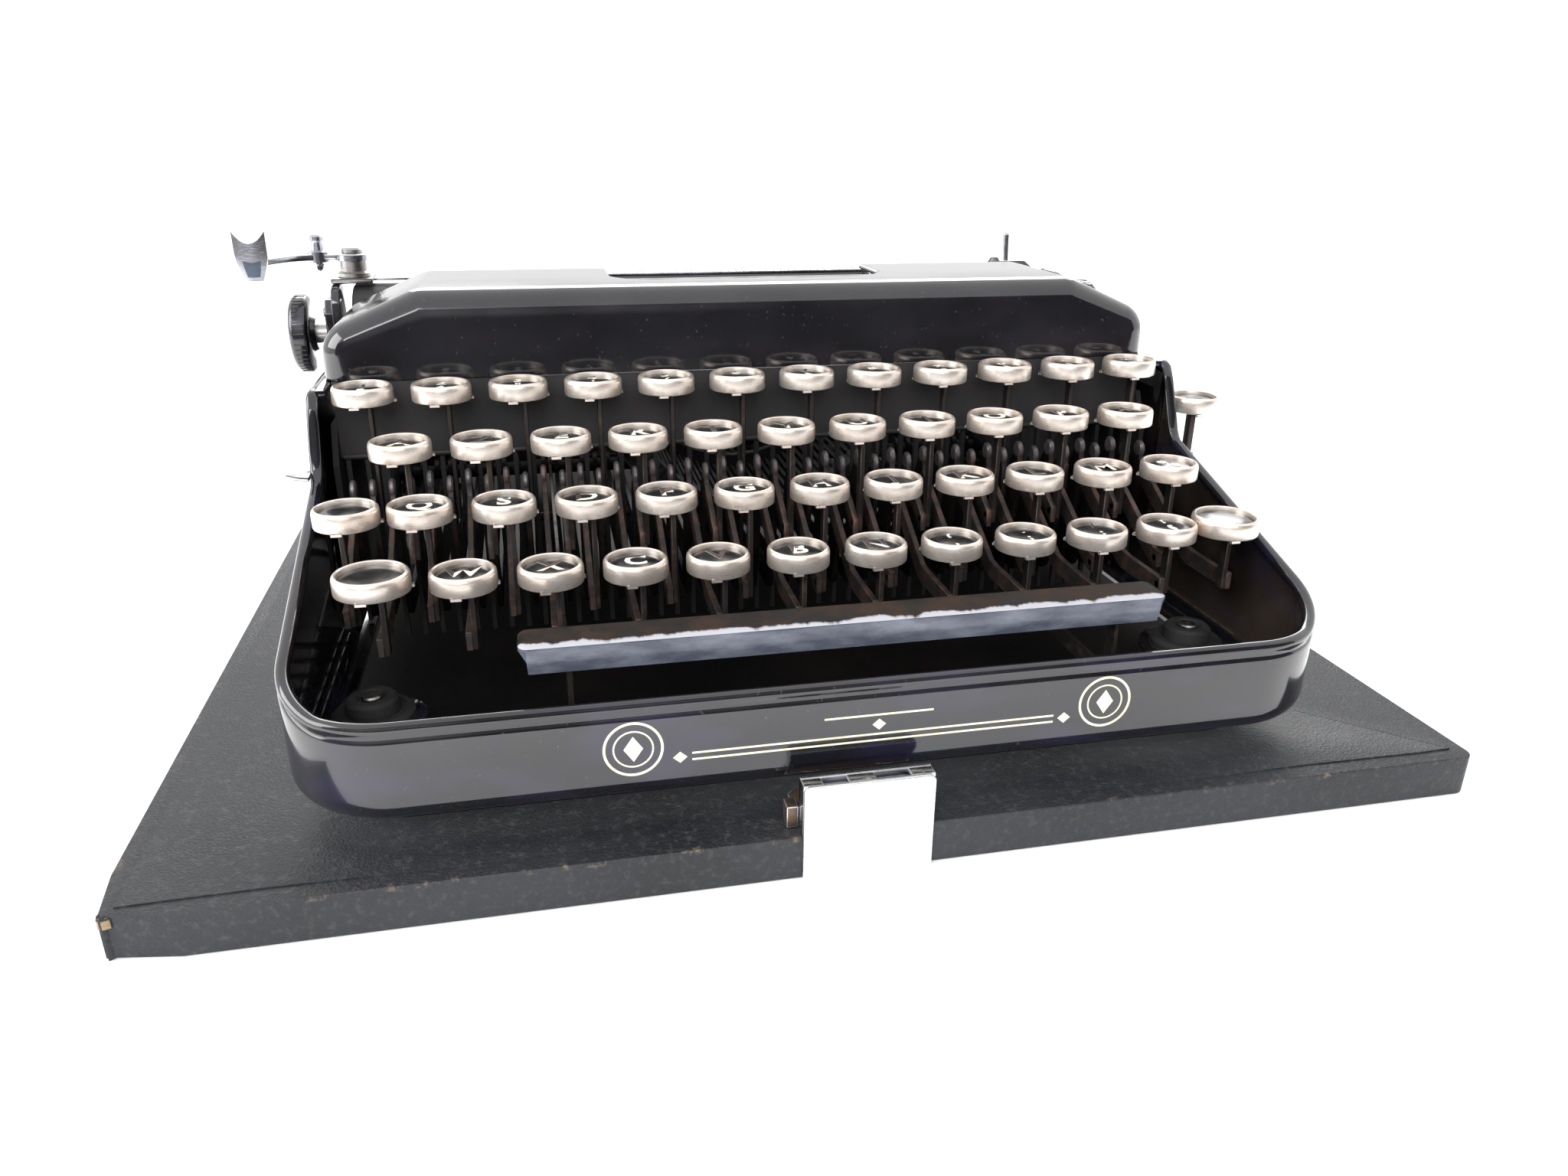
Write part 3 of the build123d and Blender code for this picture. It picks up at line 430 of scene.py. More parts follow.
# type bars darkened to near black as painted shade for bars that stand in the dark under the cover, with
# faint rust bloom
TYPE_BARS_PAINTED_SHADE = dark_steel("type_bar_painted_shade", (0.022, 0.021, 0.021), (0.045, 0.028, 0.02), 0.02, 0.5, 0.4)
SCREW_STEEL = plated("screw_steel", (0.55, 0.54, 0.53), (0.33, 0.30, 0.28), 0.25, 0.3)
PANEL = matte("panel_paint", (0.012, 0.011, 0.012), (0.024, 0.021, 0.021), 0.55, 40, 0.2, (1, 1, 0.2))
FACE = matte("key_face", (0.010, 0.011, 0.012), (0.020, 0.021, 0.023), 0.12, 200, 0.02)
IVORY = matte("legend_ivory", (0.66, 0.63, 0.54), (0.80, 0.77, 0.68), 0.45, 300, 0.1)
GOLD_LINE = matte("ornament_cream", (0.62, 0.56, 0.38), (0.78, 0.73, 0.55), 0.4, 200, 0.1)
# black rubber, also used as painted shade for screw slots
RUBBER_AND_SLOT_SHADE = matte("rubber_and_slot_shade", (0.010, 0.010, 0.010), (0.024, 0.022, 0.021), 0.7, 120, 0.35)
PLATEN_RUBBER = matte("platen_rubber", (0.012, 0.012, 0.013), (0.026, 0.026, 0.027), 0.42, 90, 0.15)
BAKELITE = black_enamel("knob_bakelite", 0.22)
RIBBON = matte("ribbon_cloth", (0.006, 0.006, 0.007), (0.014, 0.013, 0.014), 0.8, 900, 0.6, None, 0.2)
BAR_FRONT = bar_front()
BAR_TOP = bar_top()
# painted shade for the hollow of the return lever's finger plate
FINGER_PLATE_SHADE = plated("finger_plate_painted_shade", (0.17, 0.20, 0.27), (0.08, 0.09, 0.12), 0.28)


# ---------------------------------------------------------------- mesh making
def turned(axis):
    """Matrix that takes local (x, y, z) to the row frame with local z along the axis."""
    if axis == "X":
        return Matrix(((0, 0, 1), (1, 0, 0), (0, 1, 0)))
    if axis == "Y":
        return Matrix(((1, 0, 0), (0, 0, 1), (0, 1, 0)))
    return Matrix.Identity(3)


class Piece:
    """Collects closed solids into one mesh object with several materials."""

    def __init__(self, name):
        self.name = name
        self.bm = bmesh.new()
        self.materials = []

    def slot(self, material):
        if material not in self.materials:
            self.materials.append(material)
        return self.materials.index(material)

    def add(self, points, faces, material, bevel=0.0, segments=2):
        """Adds a closed solid given as points in millimetres and faces as index lists."""
        made = [self.bm.verts.new(Vector(point) * MM) for point in points]
        index = self.slot(material)
        new = []
        for face in faces:
            new.append(self.bm.faces.new([made[i] for i in face]))
            new[-1].material_index = index
            new[-1].smooth = True
        bmesh.ops.recalc_face_normals(self.bm, faces=new)
        if bevel:
            edges = {edge for face in new for edge in face.edges}
            sharp = [e for e in edges if len(e.link_faces) == 2 and e.calc_face_angle() > 0.5]
            bmesh.ops.bevel(
                self.bm,
                geom=sharp,
                offset=bevel * MM,
                segments=segments,
                profile=0.5,
                affect="EDGES",
                clamp_overlap=True,
            )

    def prism(self, outline, low, high, material, axis="X", bevel=0.2, segments=2):
        """Solid with this outline across the axis, from low to high along it. The outline's
        two numbers are (Y, Z) for axis X, (X, Z) for axis Y and (X, Y) for axis Z."""
        turn = turned(axis)
        count = len(outline)
        points = [turn @ Vector((u, v, end)) for end in (low, high) for u, v in outline]
        faces = [list(range(count)), list(range(count, 2 * count))]
        for i in range(count):
            j = (i + 1) % count
            faces.append([i, j, j + count, i + count])
        self.add(points, faces, material, bevel, segments)

    def box(self, low, high, material, bevel=0.2, segments=2):
        outline = [(low[0], low[1]), (high[0], low[1]), (high[0], high[1]), (low[0], high[1])]
        self.prism(outline, low[2], high[2], material, "Z", bevel, segments)

    def lathe(self, profile, centre, material, axis="Z", segments=32):
        """Turns (radius, height) points about the axis through the centre; the profile closes on
        the axis or on itself."""
        turn = turned(axis)
        centre = Vector(centre)
        points, rings = [], []
        for radius, height in profile:
            if radius < 1e-6:
                rings.append([len(points)])
                points.append(centre + turn @ Vector((0, 0, height)))
                continue
            rings.append(list(range(len(points), len(points) + segments)))
            for i in range(segments):
                angle = 2 * math.pi * i / segments
                spoke = Vector((radius * math.cos(angle), radius * math.sin(angle), height))
                points.append(centre + turn @ spoke)
        pairs = list(zip(rings, rings[1:]))
        if len(rings[0]) > 1 and len(rings[-1]) > 1:
            pairs.append((rings[-1], rings[0]))
        faces = []
        for first, second in pairs:
            for i in range(segments):
                j = (i + 1) % segments
                if len(first) == 1:
                    faces.append([first[0], second[i], second[j]])
                elif len(second) == 1:
                    faces.append([first[i], second[0], first[j]])
                else:
                    faces.append([first[i], second[i], second[j], first[j]])
        self.add(points, faces, material)

    def tube(self, path, radius, material, sides=12, closed=False):
        """Round wire along points in millimetres."""
        path = [Vector(point) for point in path]
        count = len(path)
        points = []
        normal = None
        for i, here in enumerate(path):
            before = path[(i - 1) % count] if closed or i else here
            after = path[(i + 1) % count] if closed or i < count - 1 else here
            along = (after - before).normalized()
            if normal is None:
                normal = along.orthogonal().normalized()
            normal = (normal - along * normal.dot(along)).normalized()
            side = along.cross(normal)
            for k in range(sides):
                angle = 2 * math.pi * k / sides
                points.append(here + (normal * math.cos(angle) + side * math.sin(angle)) * radius)
        faces = []
        for i in range(count if closed else count - 1):
            j = (i + 1) % count
            for k in range(sides):
                m = (k + 1) % sides
                faces.append([i * sides + k, i * sides + m, j * sides + m, j * sides + k])
        if not closed:
            faces.append(list(range(sides)))
            faces.append([(count - 1) * sides + k for k in range(sides)])
        self.add(points, faces, material)

    def screw(self, centre, radius, material, axis="Z", sign=1, turn=0.3):
        """Slotted cheese-head screw standing on the centre, facing along the signed axis; the slot is a
        thin dark strip of painted shade laid on the head.
        """
        high = 0.55 * radius * sign
        slot_half = 0.13 * radius
        profile = [(0, 0), (radius, 0), (radius, 0.7 * high), (0.85 * radius, high), (0, high)]
        self.lathe(profile, centre, material, axis, 24)
        rotate = Matrix.Rotation(turn, 3, "Z")
        frame3 = turned(axis)
        reach = 0.86 * radius
        outline = [(-reach, -slot_half), (reach, -slot_half), (reach, slot_half), (-reach, slot_half)]
        points = []
        for height in (high, high + 0.03 * sign):
            for u, v in outline:
                points.append(Vector(centre) + frame3 @ (rotate @ Vector((u, v, height))))
        faces = [[0, 1, 2, 3], [4, 5, 6, 7], [0, 1, 5, 4], [1, 2, 6, 5], [2, 3, 7, 6], [3, 0, 4, 7]]
        # painted shade: the slot is a flat dark strip on the head, not a cut
        self.add(points, faces, RUBBER_AND_SLOT_SHADE)

    def text(self, label, centre, size, material, squeeze=1.0):
        """Flat printed legend lying on a horizontal face."""
        data = bpy.data.curves.new("legend", "FONT")
        data.body = label
        data.size = size * MM
        data.align_x, data.align_y = "CENTER", "CENTER"
        data.offset = 0.03 * size * MM
        data.extrude = 0.03 * MM
        data.resolution_u = 3
        holder = bpy.data.objects.new("legend", data)
        bpy.context.scene.collection.objects.link(holder)
        bpy.context.view_layer.update()
        mesh = bpy.data.meshes.new_from_object(holder)
        mesh.transform(Matrix.Diagonal((squeeze, 1, 1, 1)))
        mesh.transform(Matrix.Translation(Vector(centre) * MM))
        before = len(self.bm.faces)
        self.bm.from_mesh(mesh)
        self.bm.faces.ensure_lookup_table()
        index = self.slot(material)
        for face in self.bm.faces[before:]:
            face.material_index = index
            face.smooth = False
        bpy.data.objects.remove(holder)
        bpy.data.curves.remove(data)
        bpy.data.meshes.remove(mesh)

    def finish(self, body, slot, *nodes, crease=38):
        mesh = bpy.data.meshes.new(self.name)
        self.bm.to_mesh(mesh)
        self.bm.free()
        for material in self.materials:
            mesh.materials.append(material)
        mesh.set_sharp_from_angle(angle=math.radians(crease))
        made = bpy.data.objects.new(self.name, mesh)
        bpy.context.scene.collection.objects.link(made)
        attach(made, body)
        if nodes:
            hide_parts(*nodes)
        return made


def arc(centre, radius, start, end, steps):
    """Points on an arc in a plane, angles in degrees."""
    points = []
    for i in range(steps + 1):
        angle = math.radians(start + (end - start) * i / steps)
        points.append((centre[0] + radius * math.cos(angle), centre[1] + radius * math.sin(angle)))
    return points


def circle(centre, radius, steps):
    """Points round a whole circle in a plane."""
    angles = [2 * math.pi * k / steps for k in range(steps)]
    return [(centre[0] + radius * math.cos(a), centre[1] + radius * math.sin(a)) for a in angles]


def rounded_plan(low, high, radius, steps=14, side_step=4.0):
    """Closed rounded rectangle as (x, y, outward x, outward y), straight sides subdivided."""
    centres = [
        (high[0] - radius, high[1] - radius, 0),
        (low[0] + radius, high[1] - radius, 90),
        (low[0] + radius, low[1] + radius, 180),
        (high[0] - radius, low[1] + radius, 270),
    ]
    loop = []
    for i, (cx, cy, start) in enumerate(centres):
        for k in range(steps + 1):
            angle = math.radians(start + 90 * k / steps)
            nx, ny = math.cos(angle), math.sin(angle)
            loop.append((cx + radius * nx, cy + radius * ny, nx, ny))
        px, py, nx, ny = loop[-1]
        qx, qy, qstart = centres[(i + 1) % 4]
        angle = math.radians(qstart)
        ex, ey = qx + radius * math.cos(angle), qy + radius * math.sin(angle)
        count = max(1, int(math.hypot(ex - px, ey - py) / side_step))
        for k in range(1, count):
            share = k / count
            loop.append((px + (ex - px) * share, py + (ey - py) * share, nx, ny))
    return loop


def shell_from_plan(piece, plan, section, material):
    """Sweeps a closed section round a closed plan. section(y) gives (inset, z) points."""
    points, count = [], None
    for x, y, nx, ny in plan:
        profile = section(y)
        count = len(profile)
        points += [(x - nx * inset, y - ny * inset, z) for inset, z in profile]
    faces = []
    total = len(plan)
    for i in range(total):
        j = (i + 1) % total
        for k in range(count):
            m = (k + 1) % count
            faces.append([i * count + k, j * count + k, j * count + m, i * count + m])
    piece.add(points, faces, material)


# ---------------------------------------------------------------- case board and lock
def make_board():
    """Case board: slab with a chipped corner, inset top sheet and a dark field of painted shade under the
    machine.
    """
    board = Piece("case_board_look")
    low, high = BOARD_LOW, BOARD_HIGH
    sheet = 0.35
    inset = 4.2
    radius = 3.0
    slab = []
    for x, y, nx, ny in rounded_plan(low, high, radius, 6, 12.0):
        chipped = x < low.x + 4 and y < low.y + 4
        bite = random.uniform(0.8, 2.2) if chipped else 0.0
        slab.append((x - nx * bite, y - ny * bite))
    board.prism(slab, 0, high.z - sheet, LEATHERETTE, "Z", 0.9, 3)
    core = [(low.x + 1.1, low.y + 2.0), (low.x + 2.0, low.y + 1.1), (low.x + 4, low.y + 1.7),
            (low.x + 1.7, low.y + 4)]
    board.prism(core, high.z - 3.4, high.z - 0.9, WOOD, "Z", 0.3)
    top = []
    for x, y, nx, ny in rounded_plan(low, high, radius + 1, 6, 9.0):
        wander = inset + 0.25 * math.sin(x * 0.11 + y * 0.07) + random.uniform(-0.08, 0.08)
        top.append((x - nx * wander, y - ny * wander))
    board.prism(top, high.z - sheet - 0.1, high.z, LEATHERETTE, "Z", 0.25, 2)
    # painted shade: a dark, dull sheet laid on the board under and round the machine, standing in for its
    # shadow
    covered = rounded_plan(Vector((-119.0, back(24.0))), Vector((119.0, back(287.0))), 24.0, 6, 20.0)
    board.prism([(x, y) for x, y, nx, ny in covered], high.z - 0.1, high.z + 0.04, PAINTED_SHADE_CLOTH, "Z",
                0)
    board.finish("machine", "leatherette_board", "case_board")


def make_hardware():
    """Lock plate with its slots and bracket, and the two hinge leaves."""
    metal = Piece("case_lock_look")
    low, high = corners("case_hardware")
    front, top = low.y, high.z
    half, board_top = 14.3, BOARD_HIGH.z
    plate = [(-half, 0.0), (half, 0.0), (half, top - 1.2), (half - 1.2, top), (1 - half, top),
             (-half, top - 1)]
    metal.prism(plate, front, front + 1.1, LOCK_PLATE, "Y", 0.35, 3)
    slots = ((-9.9, -4.6), (1.5, 9.0))
    rib_edges = [-half, slots[0][0], slots[0][1], slots[1][0], slots[1][1], half]
    for i in range(0, 6, 2):
        metal.box((rib_edges[i], front + 0.9, top - 1.1), (rib_edges[i + 1], back(3.0), top - 0.1),
                  CHROME, 0.25)
    metal.box((-half, back(2.6), 17.0), (half, back(3.7), top), CHROME, 0.25)
    metal.box((-half + 0.2, back(-0.1), board_top), (half - 0.2, back(2.7), top - 1.7), PANEL, 0.2)
    metal.box((-half - 2.6, back(3.6), board_top), (-half - 0.1, back(7.4), 15.4), LOCK_RUSTED, 0.2)
    for side in (-1, 1):
        x0, x1 = sorted((side * half, side * (half - 1.2)))
        cheek = [
            (back(-0.2), board_top), (back(10), board_top), (back(9), board_top + 1.2),
            (back(3.7), 17.4), (back(3.7), top - 0.3), (back(-0.2), top - 0.3),
        ]
        metal.prism(cheek, x0, x1, CHROME, "X", 0.2)
    flange = [(-half, back(3)), (half, back(3)), (half, back(15)), (half - 2, back(17)),
              (2 - half, back(17)), (-half, back(15))]
    metal.prism(flange, board_top - 0.1, board_top + 1.1, LOCK_RUSTED, "Z", 0.25)
    for x in (-8.5, 8.5):
        metal.screw((x, back(12.5), board_top + 1.1), 2.1, SCREW_STEEL, turn=x)
    for x in (-90.0, 90.0):
        leaf = BOARD_HIGH.y
        metal.prism(
            [(x - 16, 1.6), (x - 15, 0.8), (x + 15, 0.8), (x + 16, 1.6), (x + 16, 9.2), (x + 15, 10),
             (x - 15, 10), (x - 16, 9.2)],
            leaf, high.y - 0.35, LOCK_PLATE, "Y", 0.2,
        )
        for dx in (-11, 0, 11):
            metal.lathe(
                [(0, 0), (1.7, 0), (1.5, 0.3), (0, 0.35)],
                (x + dx, high.y - 0.36, 5.4), SCREW_STEEL, "Y", 20,
            )
    metal.finish("machine", "nickel_plate", "case_hardware")


# ---------------------------------------------------------------- casing
FOOT_X, FOOT_BACKS = 104.5, (54.0, 240.0)
RIM_PROFILE = (
    (0.0, 41.0), (13.0, 41.2), (50.0, 53.3), (91.0, 66.6), (92.6, 68.2), (100.2, 85.2),
    (102.0, 86.7), (158.0, 86.7), (159.0, 85.6), (162.3, 66.0), (163.6, 64.0), (400.0, 64.0),
)


def rim_height(y):
    """Height of the casing's rim at this Y."""
    distance = y - FRONT
    for (d0, z0), (d1, z1) in zip(RIM_PROFILE, RIM_PROFILE[1:]):
        if distance <= d1:
            return z0 + (z1 - z0) * (distance - d0) / (d1 - d0)
    return RIM_PROFILE[-1][1]


def casing_section(y):
    """Section of the casing wall from its bottom flange round the outside to the inside."""
    top = rim_height(y)
    bottom, sheet, rounding, bead = 18.0, 1.6, 6.0, 1.45
    section = [(7.6, bottom), (rounding + 0.5, bottom)]
    section += [(rounding - r * rounding, bottom + rounding - z * rounding) for r,
                z in arc((0, 0), 1, 90, 0, 8)]
    wall = top - 4.4
    section += [(0.0, bottom + rounding + (wall - bottom - rounding) * share) for share in (0.33, 0.66,
                                                                                            1.0)]
    section += [(0.10, top - 3.75), (0.42, top - 3.3), (0.40, top - 2.95)]
    section += [(bead - math.cos(a) * bead, top - bead + math.sin(a) * bead) for a in
                [math.radians(-40 + 20 * k) for k in range(14)]]
    section += [(sheet + 0.3, top - 3.3), (sheet, top - 3.8), (sheet, bottom + rounding)]
    inner = rounding - sheet
    section += [(rounding - r * inner, bottom + rounding - z * inner) for r,
                z in arc((0, 0), 1, 0, 90, 5)]
    section += [(7.6, bottom + sheet)]
    return section


def make_casing():
    """Pressed casing with its ledges, foot pads, thumb tab, stud and screws."""
    casing = Piece("casing_look")
    low = Vector((-118.0, back(8.0), 18.0))
    high = Vector((118.0, back(268.0), 87.0))
    plan = rounded_plan(low, high, 23.0, 20, 2.0)
    shell_from_plan(casing, plan, casing_section, ENAMEL)
    for side in (-1, 1):
        x0, x1 = sorted((side * 113.5, side * 117.2))
        casing.box((x0, back(102.5), 84.9), (x1, back(157.5), 86.5), ENAMEL, 0.3)
        for foot_back in FOOT_BACKS:
            centre = (side * FOOT_X, back(foot_back))
            casing.prism(circle(centre, 12, 36), 18.0, 19.5, ENAMEL, "Z", 0.2)
    # small thumb tab where the left rim meets the upper side panel
    tab = [(-117.5, back(88.0)), (-117.5, back(95.5)), (-121.5, back(93.4)), (-123.6, back(91.6)),
           (-121.0, back(89.4))]
    casing.prism(tab, 67.4, 68.4, CHROME, "Z", 0.25)
    # pivot stud of the outer lever, and the screws that hold the chassis
    casing.lathe([(0, 0), (2.0, 0), (2.0, 3.2), (3.4, 3.2), (3.4, 4.1), (3.0, 4.4), (0, 4.4)],
                 (118.0, back(150.0), 64.0), SCREW_STEEL, "X", 28)
    for side in (-1, 1):
        for distance, z in ((122.0, 40.0), (206.0, 40.0), (250.0, 32.0), (112.0, 78.0)):
            if side < 0 or z != 78.0:
                casing.screw((side * 118.0, back(distance), z), 2.9, SCREW_STEEL, "X", side * 0.7,
                             distance)
    casing.finish("machine", "black_enamel", "frame_tray")


def make_feet():
    """Rubber feet with their ringed bushes."""
    feet = Piece("rubber_feet")
    ring_steps = [(0, 10.6), (10.6, 10.6), (11.2, 12.0), (11.2, 15.0), (11.4, 18.0), (9.4, 19.7),
                  (9.4, 21.0),
                  (8.3, 22.0), (7.2, 21.4), (6.3, 21.6), (6.0, 24.4), (5.2, 25.2), (3.6, 25.3),
                  (3.0, 24.2), (0, 24.2)]
    for side in (-1, 1):
        for distance in FOOT_BACKS:
            feet.lathe(ring_steps, (side * FOOT_X, back(distance), 0), RUBBER_AND_SLOT_SHADE, "Z", 40)
            feet.screw((side * FOOT_X, back(distance), 24.2), 2.4, SCREW_STEEL, turn=distance)
    feet.finish("machine", "black_enamel")


def make_ornament():
    """Thin cream rings and lines, a plain pattern on the front wall."""
    print_side = Piece("front_ornament")
    wall = back(8.0)
    lift = 0.06
    centre_z = 30.6

    def ring(x, radius, width):
        steps = 64
        points = []
        for y in (wall - lift, wall + 0.05):
            for r in (radius, radius - width):
                points += [(across, y, up) for across, up in circle((x, centre_z), r, steps)]
        faces = []
        for k in range(steps):
            m = (k + 1) % steps
            o0, i0, o1, i1 = 0, steps, 2 * steps, 3 * steps
            faces += [[o0 + k, o0 + m, i0 + m, i0 + k], [o1 + k, i1 + k, i1 + m, o1 + m]]
            faces += [[o0 + k, o1 + k, o1 + m, o0 + m], [i0 + k, i0 + m, i1 + m, i1 + k]]
        print_side.add(points, faces, GOLD_LINE)

    def lozenge(x, z, half_width, half_height):
        outline = [(x - half_width, z), (x, z - half_height), (x + half_width, z), (x, z + half_height)]
        print_side.prism(outline, wall - lift, wall + 0.05, GOLD_LINE, "Y", 0)

    for x in (-48.0, 56.0):
        ring(x, 6.2, 0.55)
        ring(x, 4.2, 0.35)
        lozenge(x, centre_z, 2.0, 2.9)
    for z, left, right in ((33.0, -8.0, 16.0), (28.4, -36.0, 44.0), (26.9, -36.0, 44.0)):
        print_side.prism([(left, z - 0.22), (right, z - 0.22), (right, z + 0.22), (left, z + 0.22)],
                         wall - lift, wall + 0.05, GOLD_LINE, "Y", 0)
    for x in (-38.5, 4.0, 46.5):
        lozenge(x, 27.65 if x != 4.0 else 30.7, 1.5, 1.3)
    print_side.finish("machine", "black_enamel")


# ---------------------------------------------------------------- ribbon cover
NOTCH_HALF, NOTCH_CORNER = 40.0, 14.0


def rounded_path(points, radius, steps=6):
    """Open polyline with rounded corners, as (x, z) points."""
    path = [Vector(points[0])]
    for before, here, after in zip(points, points[1:], points[2:]):
        before, here, after = Vector(before), Vector(here), Vector(after)
        to_before, to_after = (before - here).normalized(), (after - here).normalized()
        half = to_before.angle(to_after) / 2
        reach = radius / math.tan(half)
        start, end = here + to_before * reach, here + to_after * reach
        centre = here + (to_before + to_after).normalized() * (radius / math.sin(half))
        for k in range(steps + 1):
            share = k / steps
            spoke = (start - centre).lerp(end - centre, share)
            path.append(centre + spoke.normalized() * radius)
    path.append(Vector(points[-1]))
    return path


def make_cover():
    """Ribbon cover as one skin with rolled edges and the notch cut out of its roof."""
    cover = Piece("ribbon_cover_look")
    half, bottom, top = COVER_HIGH.x, COVER_LOW.z, COVER_HIGH.z
    front, rear = COVER_LOW.y, COVER_HIGH.y
    shoulder_z, flat_half, sheet, rounding = 98.5, 90.9, 1.4, 7.5

    def outline(inset):
        """Roof outline, inset inwards, from the lower left to the lower right."""
        corner = max(9.0 - inset, 1.5)
        left = [(-half + inset, bottom), (-half + inset, shoulder_z - 0.42 * inset),
                (-flat_half + 0.36 * inset, top - inset)]
        right = [(-x, z) for x, z in reversed(left)]
        return rounded_path(left + right, corner, 7)

    def skin(thickness):
        """Rings of the skin from the front wall, over the rounded edge, to the open rear."""
        small = rounding - thickness
        rings = [(14.0, front + thickness)]
        for k in range(9):
            angle = math.radians(90 * k / 8)
            rings.append((rounding - small * math.sin(angle),
                          front + rounding - small * math.cos(angle)))
        length = rear - front - rounding
        rings += [(thickness, front + rounding + length * share) for share in (0.5, 1.0)]
        return [[(p.x, y, p.y) for p in outline(inset)] for inset, y in rings]

    outer, inner = skin(0.0), skin(sheet)
    count, rows = len(outer[0]), len(outer)
    points = [point for ring in outer + inner for point in ring]
    shift = rows * count
    faces = []
    for r in range(rows - 1):
        for k in range(count - 1):
            quad = [r * count + k, r * count + k + 1, (r + 1) * count + k + 1, (r + 1) * count + k]
            faces += [quad, [shift + i for i in reversed(quad)]]
        for k in (0, count - 1):
            a, b = r * count + k, (r + 1) * count + k
            faces.append([a, b, b + shift, a + shift])
    last = (rows - 1) * count
    for k in range(count - 1):
        faces.append([last + k, last + k + 1, last + k + 1 + shift, last + k + shift])
    for layer in (0, shift):
        faces.append([layer + k for k in range(count)])
    faces.append([0, count - 1, shift + count - 1, shift])
    cover.add(points, faces, COVER_ENAMEL)
    notch = [(-NOTCH_HALF, back(160.0)), (-NOTCH_HALF, back(135.0))]
    for k in range(1, 11):
        a = math.radians(90 * k / 10)
        across = NOTCH_CORNER - NOTCH_HALF - NOTCH_CORNER * math.cos(a)
        notch.append((across, back(127 + NOTCH_CORNER) - NOTCH_CORNER * math.sin(a)))
    notch += [(-x, y) for x, y in reversed(notch)]
    cover_object = cover.finish("top_cover", "black_enamel", "top_cover")
    cutter = Piece("notch_cutter")
    cutter.prism(notch, COVER_HIGH.z - 6, COVER_HIGH.z + 5, COVER_ENAMEL, "Z", 0)
    cut_mesh = bpy.data.meshes.new("notch_cutter")
    cutter.bm.to_mesh(cut_mesh)
    cutter.bm.free()
    cut_object = bpy.data.objects.new("notch_cutter", cut_mesh)
    bpy.context.scene.collection.objects.link(cut_object)
    modifier = cover_object.modifiers.new("notch", "BOOLEAN")
    modifier.operation = "DIFFERENCE"
    modifier.solver = "EXACT"
    modifier.object = cut_object
    bpy.context.view_layer.update()
    evaluated = cover_object.evaluated_get(bpy.context.evaluated_depsgraph_get())
    trimmed = bpy.data.meshes.new_from_object(evaluated)
    cover_object.modifiers.clear()
    cover_object.data = trimmed
    trimmed.set_sharp_from_angle(angle=math.radians(38))
    bpy.data.objects.remove(cut_object)
    lip = Piece("cover_notch_lip")
    lip_z = COVER_HIGH.z - 0.75
    edge = [(x, y, lip_z) for x, y in notch[:-1]]
    inside = [point for point in edge if point[1] <= back(157.6)]
    ends = [(side * NOTCH_HALF, back(157.4), lip_z) for side in (-1, 1)]
    lip.tube(ends[:1] + inside + ends[1:], 0.72, COVER_ENAMEL, 10)
    lip.finish("top_cover", "black_enamel")


# ---------------------------------------------------------------- keys
def arm_top(distance):
    """Height of a lever's top edge this far back."""
    return 42.5 + max(0.0, distance - 67.0) * math.tan(math.radians(30))


def add_lever(piece, x, key_back, head_z, drop=None):
    """Strip lever from the key to the rear shaft, with its rounded lug head."""
    start = key_back - 1.5
    outline = [(start, arm_top(start))] if start < 94 else [(95.5, arm_top(95.5))]
    if start < 67:
        outline += [(63.0, 42.5), (67.0, 42.9)]
    outline += [(96.0, arm_top(96.0)), (96.3, head_z - 1.0), (99.7, head_z - 1.0), (103.4, 57.0)]
    outline += [(109.0, 32.0), (111.0, 29.3), (225.0, 29.0), (225.0, 25.0)]
    if drop:
        outline += [(drop + 3, 24.2), (drop + 2.4, 15.2), (drop - 2.4, 15.2), (drop - 3, 24.2)]
    outline += [(105.0, 24.0), (102.6, 25.5), (95.5, 50.5)]
    if start < 94:
        outline.append((94.0, arm_top(94.0) - 5.5))
    if start < 67:
        outline += [(69.0, 38.9), (66.0, 38.0)]
    if start < 94:
        outline.append((start, arm_top(start) - 4.5))
    piece.prism([(back(d), z) for d, z in outline], x - 0.72, x + 0.72, LEVER_STEEL, "X", 0.16, 1)
    head = [(0, -0.75), (1.9, -0.75), (2.4, -0.35), (2.4, 0.35), (1.9, 0.75), (0, 0.75)]
    piece.lathe(head, (x, back(98.0), head_z), HEAD_STEEL, "X", 20)
    hub = [(2.6, -0.74), (5.0, -0.74), (5.0, 0.74), (2.6, 0.74)]
    piece.lathe(hub, (x, back(225.0), 30.0), LEVER_STEEL, "X", 20)


def add_stem(piece, x, side, distance, top):
    """Flat stem riveted to the lever's side, with a collar under the cup."""
    face = x + side * 0.73
    x0, x1 = sorted((face, face + side * 1.2))
    foot = arm_top(distance) - 4.3 if distance < 94 else 52.0
    piece.box((x0, back(distance - 1.5), foot), (x1, back(distance + 1.5), top - 4.2), STEEL, 0.2, 1)
    collar = [(0, -5.6), (1.5, -5.6), (2.2, -4.4), (0, -4.4)]
    piece.lathe([(r, top + z) for r, z in collar], ((x0 + x1) / 2, back(distance), 0), STEEL, "Z", 14)
    rivet = [(0, 0), (0.9, 0), (0.6, 0.45 * side), (0, 0.5 * side)]
    piece.lathe(rivet, (x - side * 0.72, back(distance), foot + 2.2), HEAD_STEEL, "X", 10)


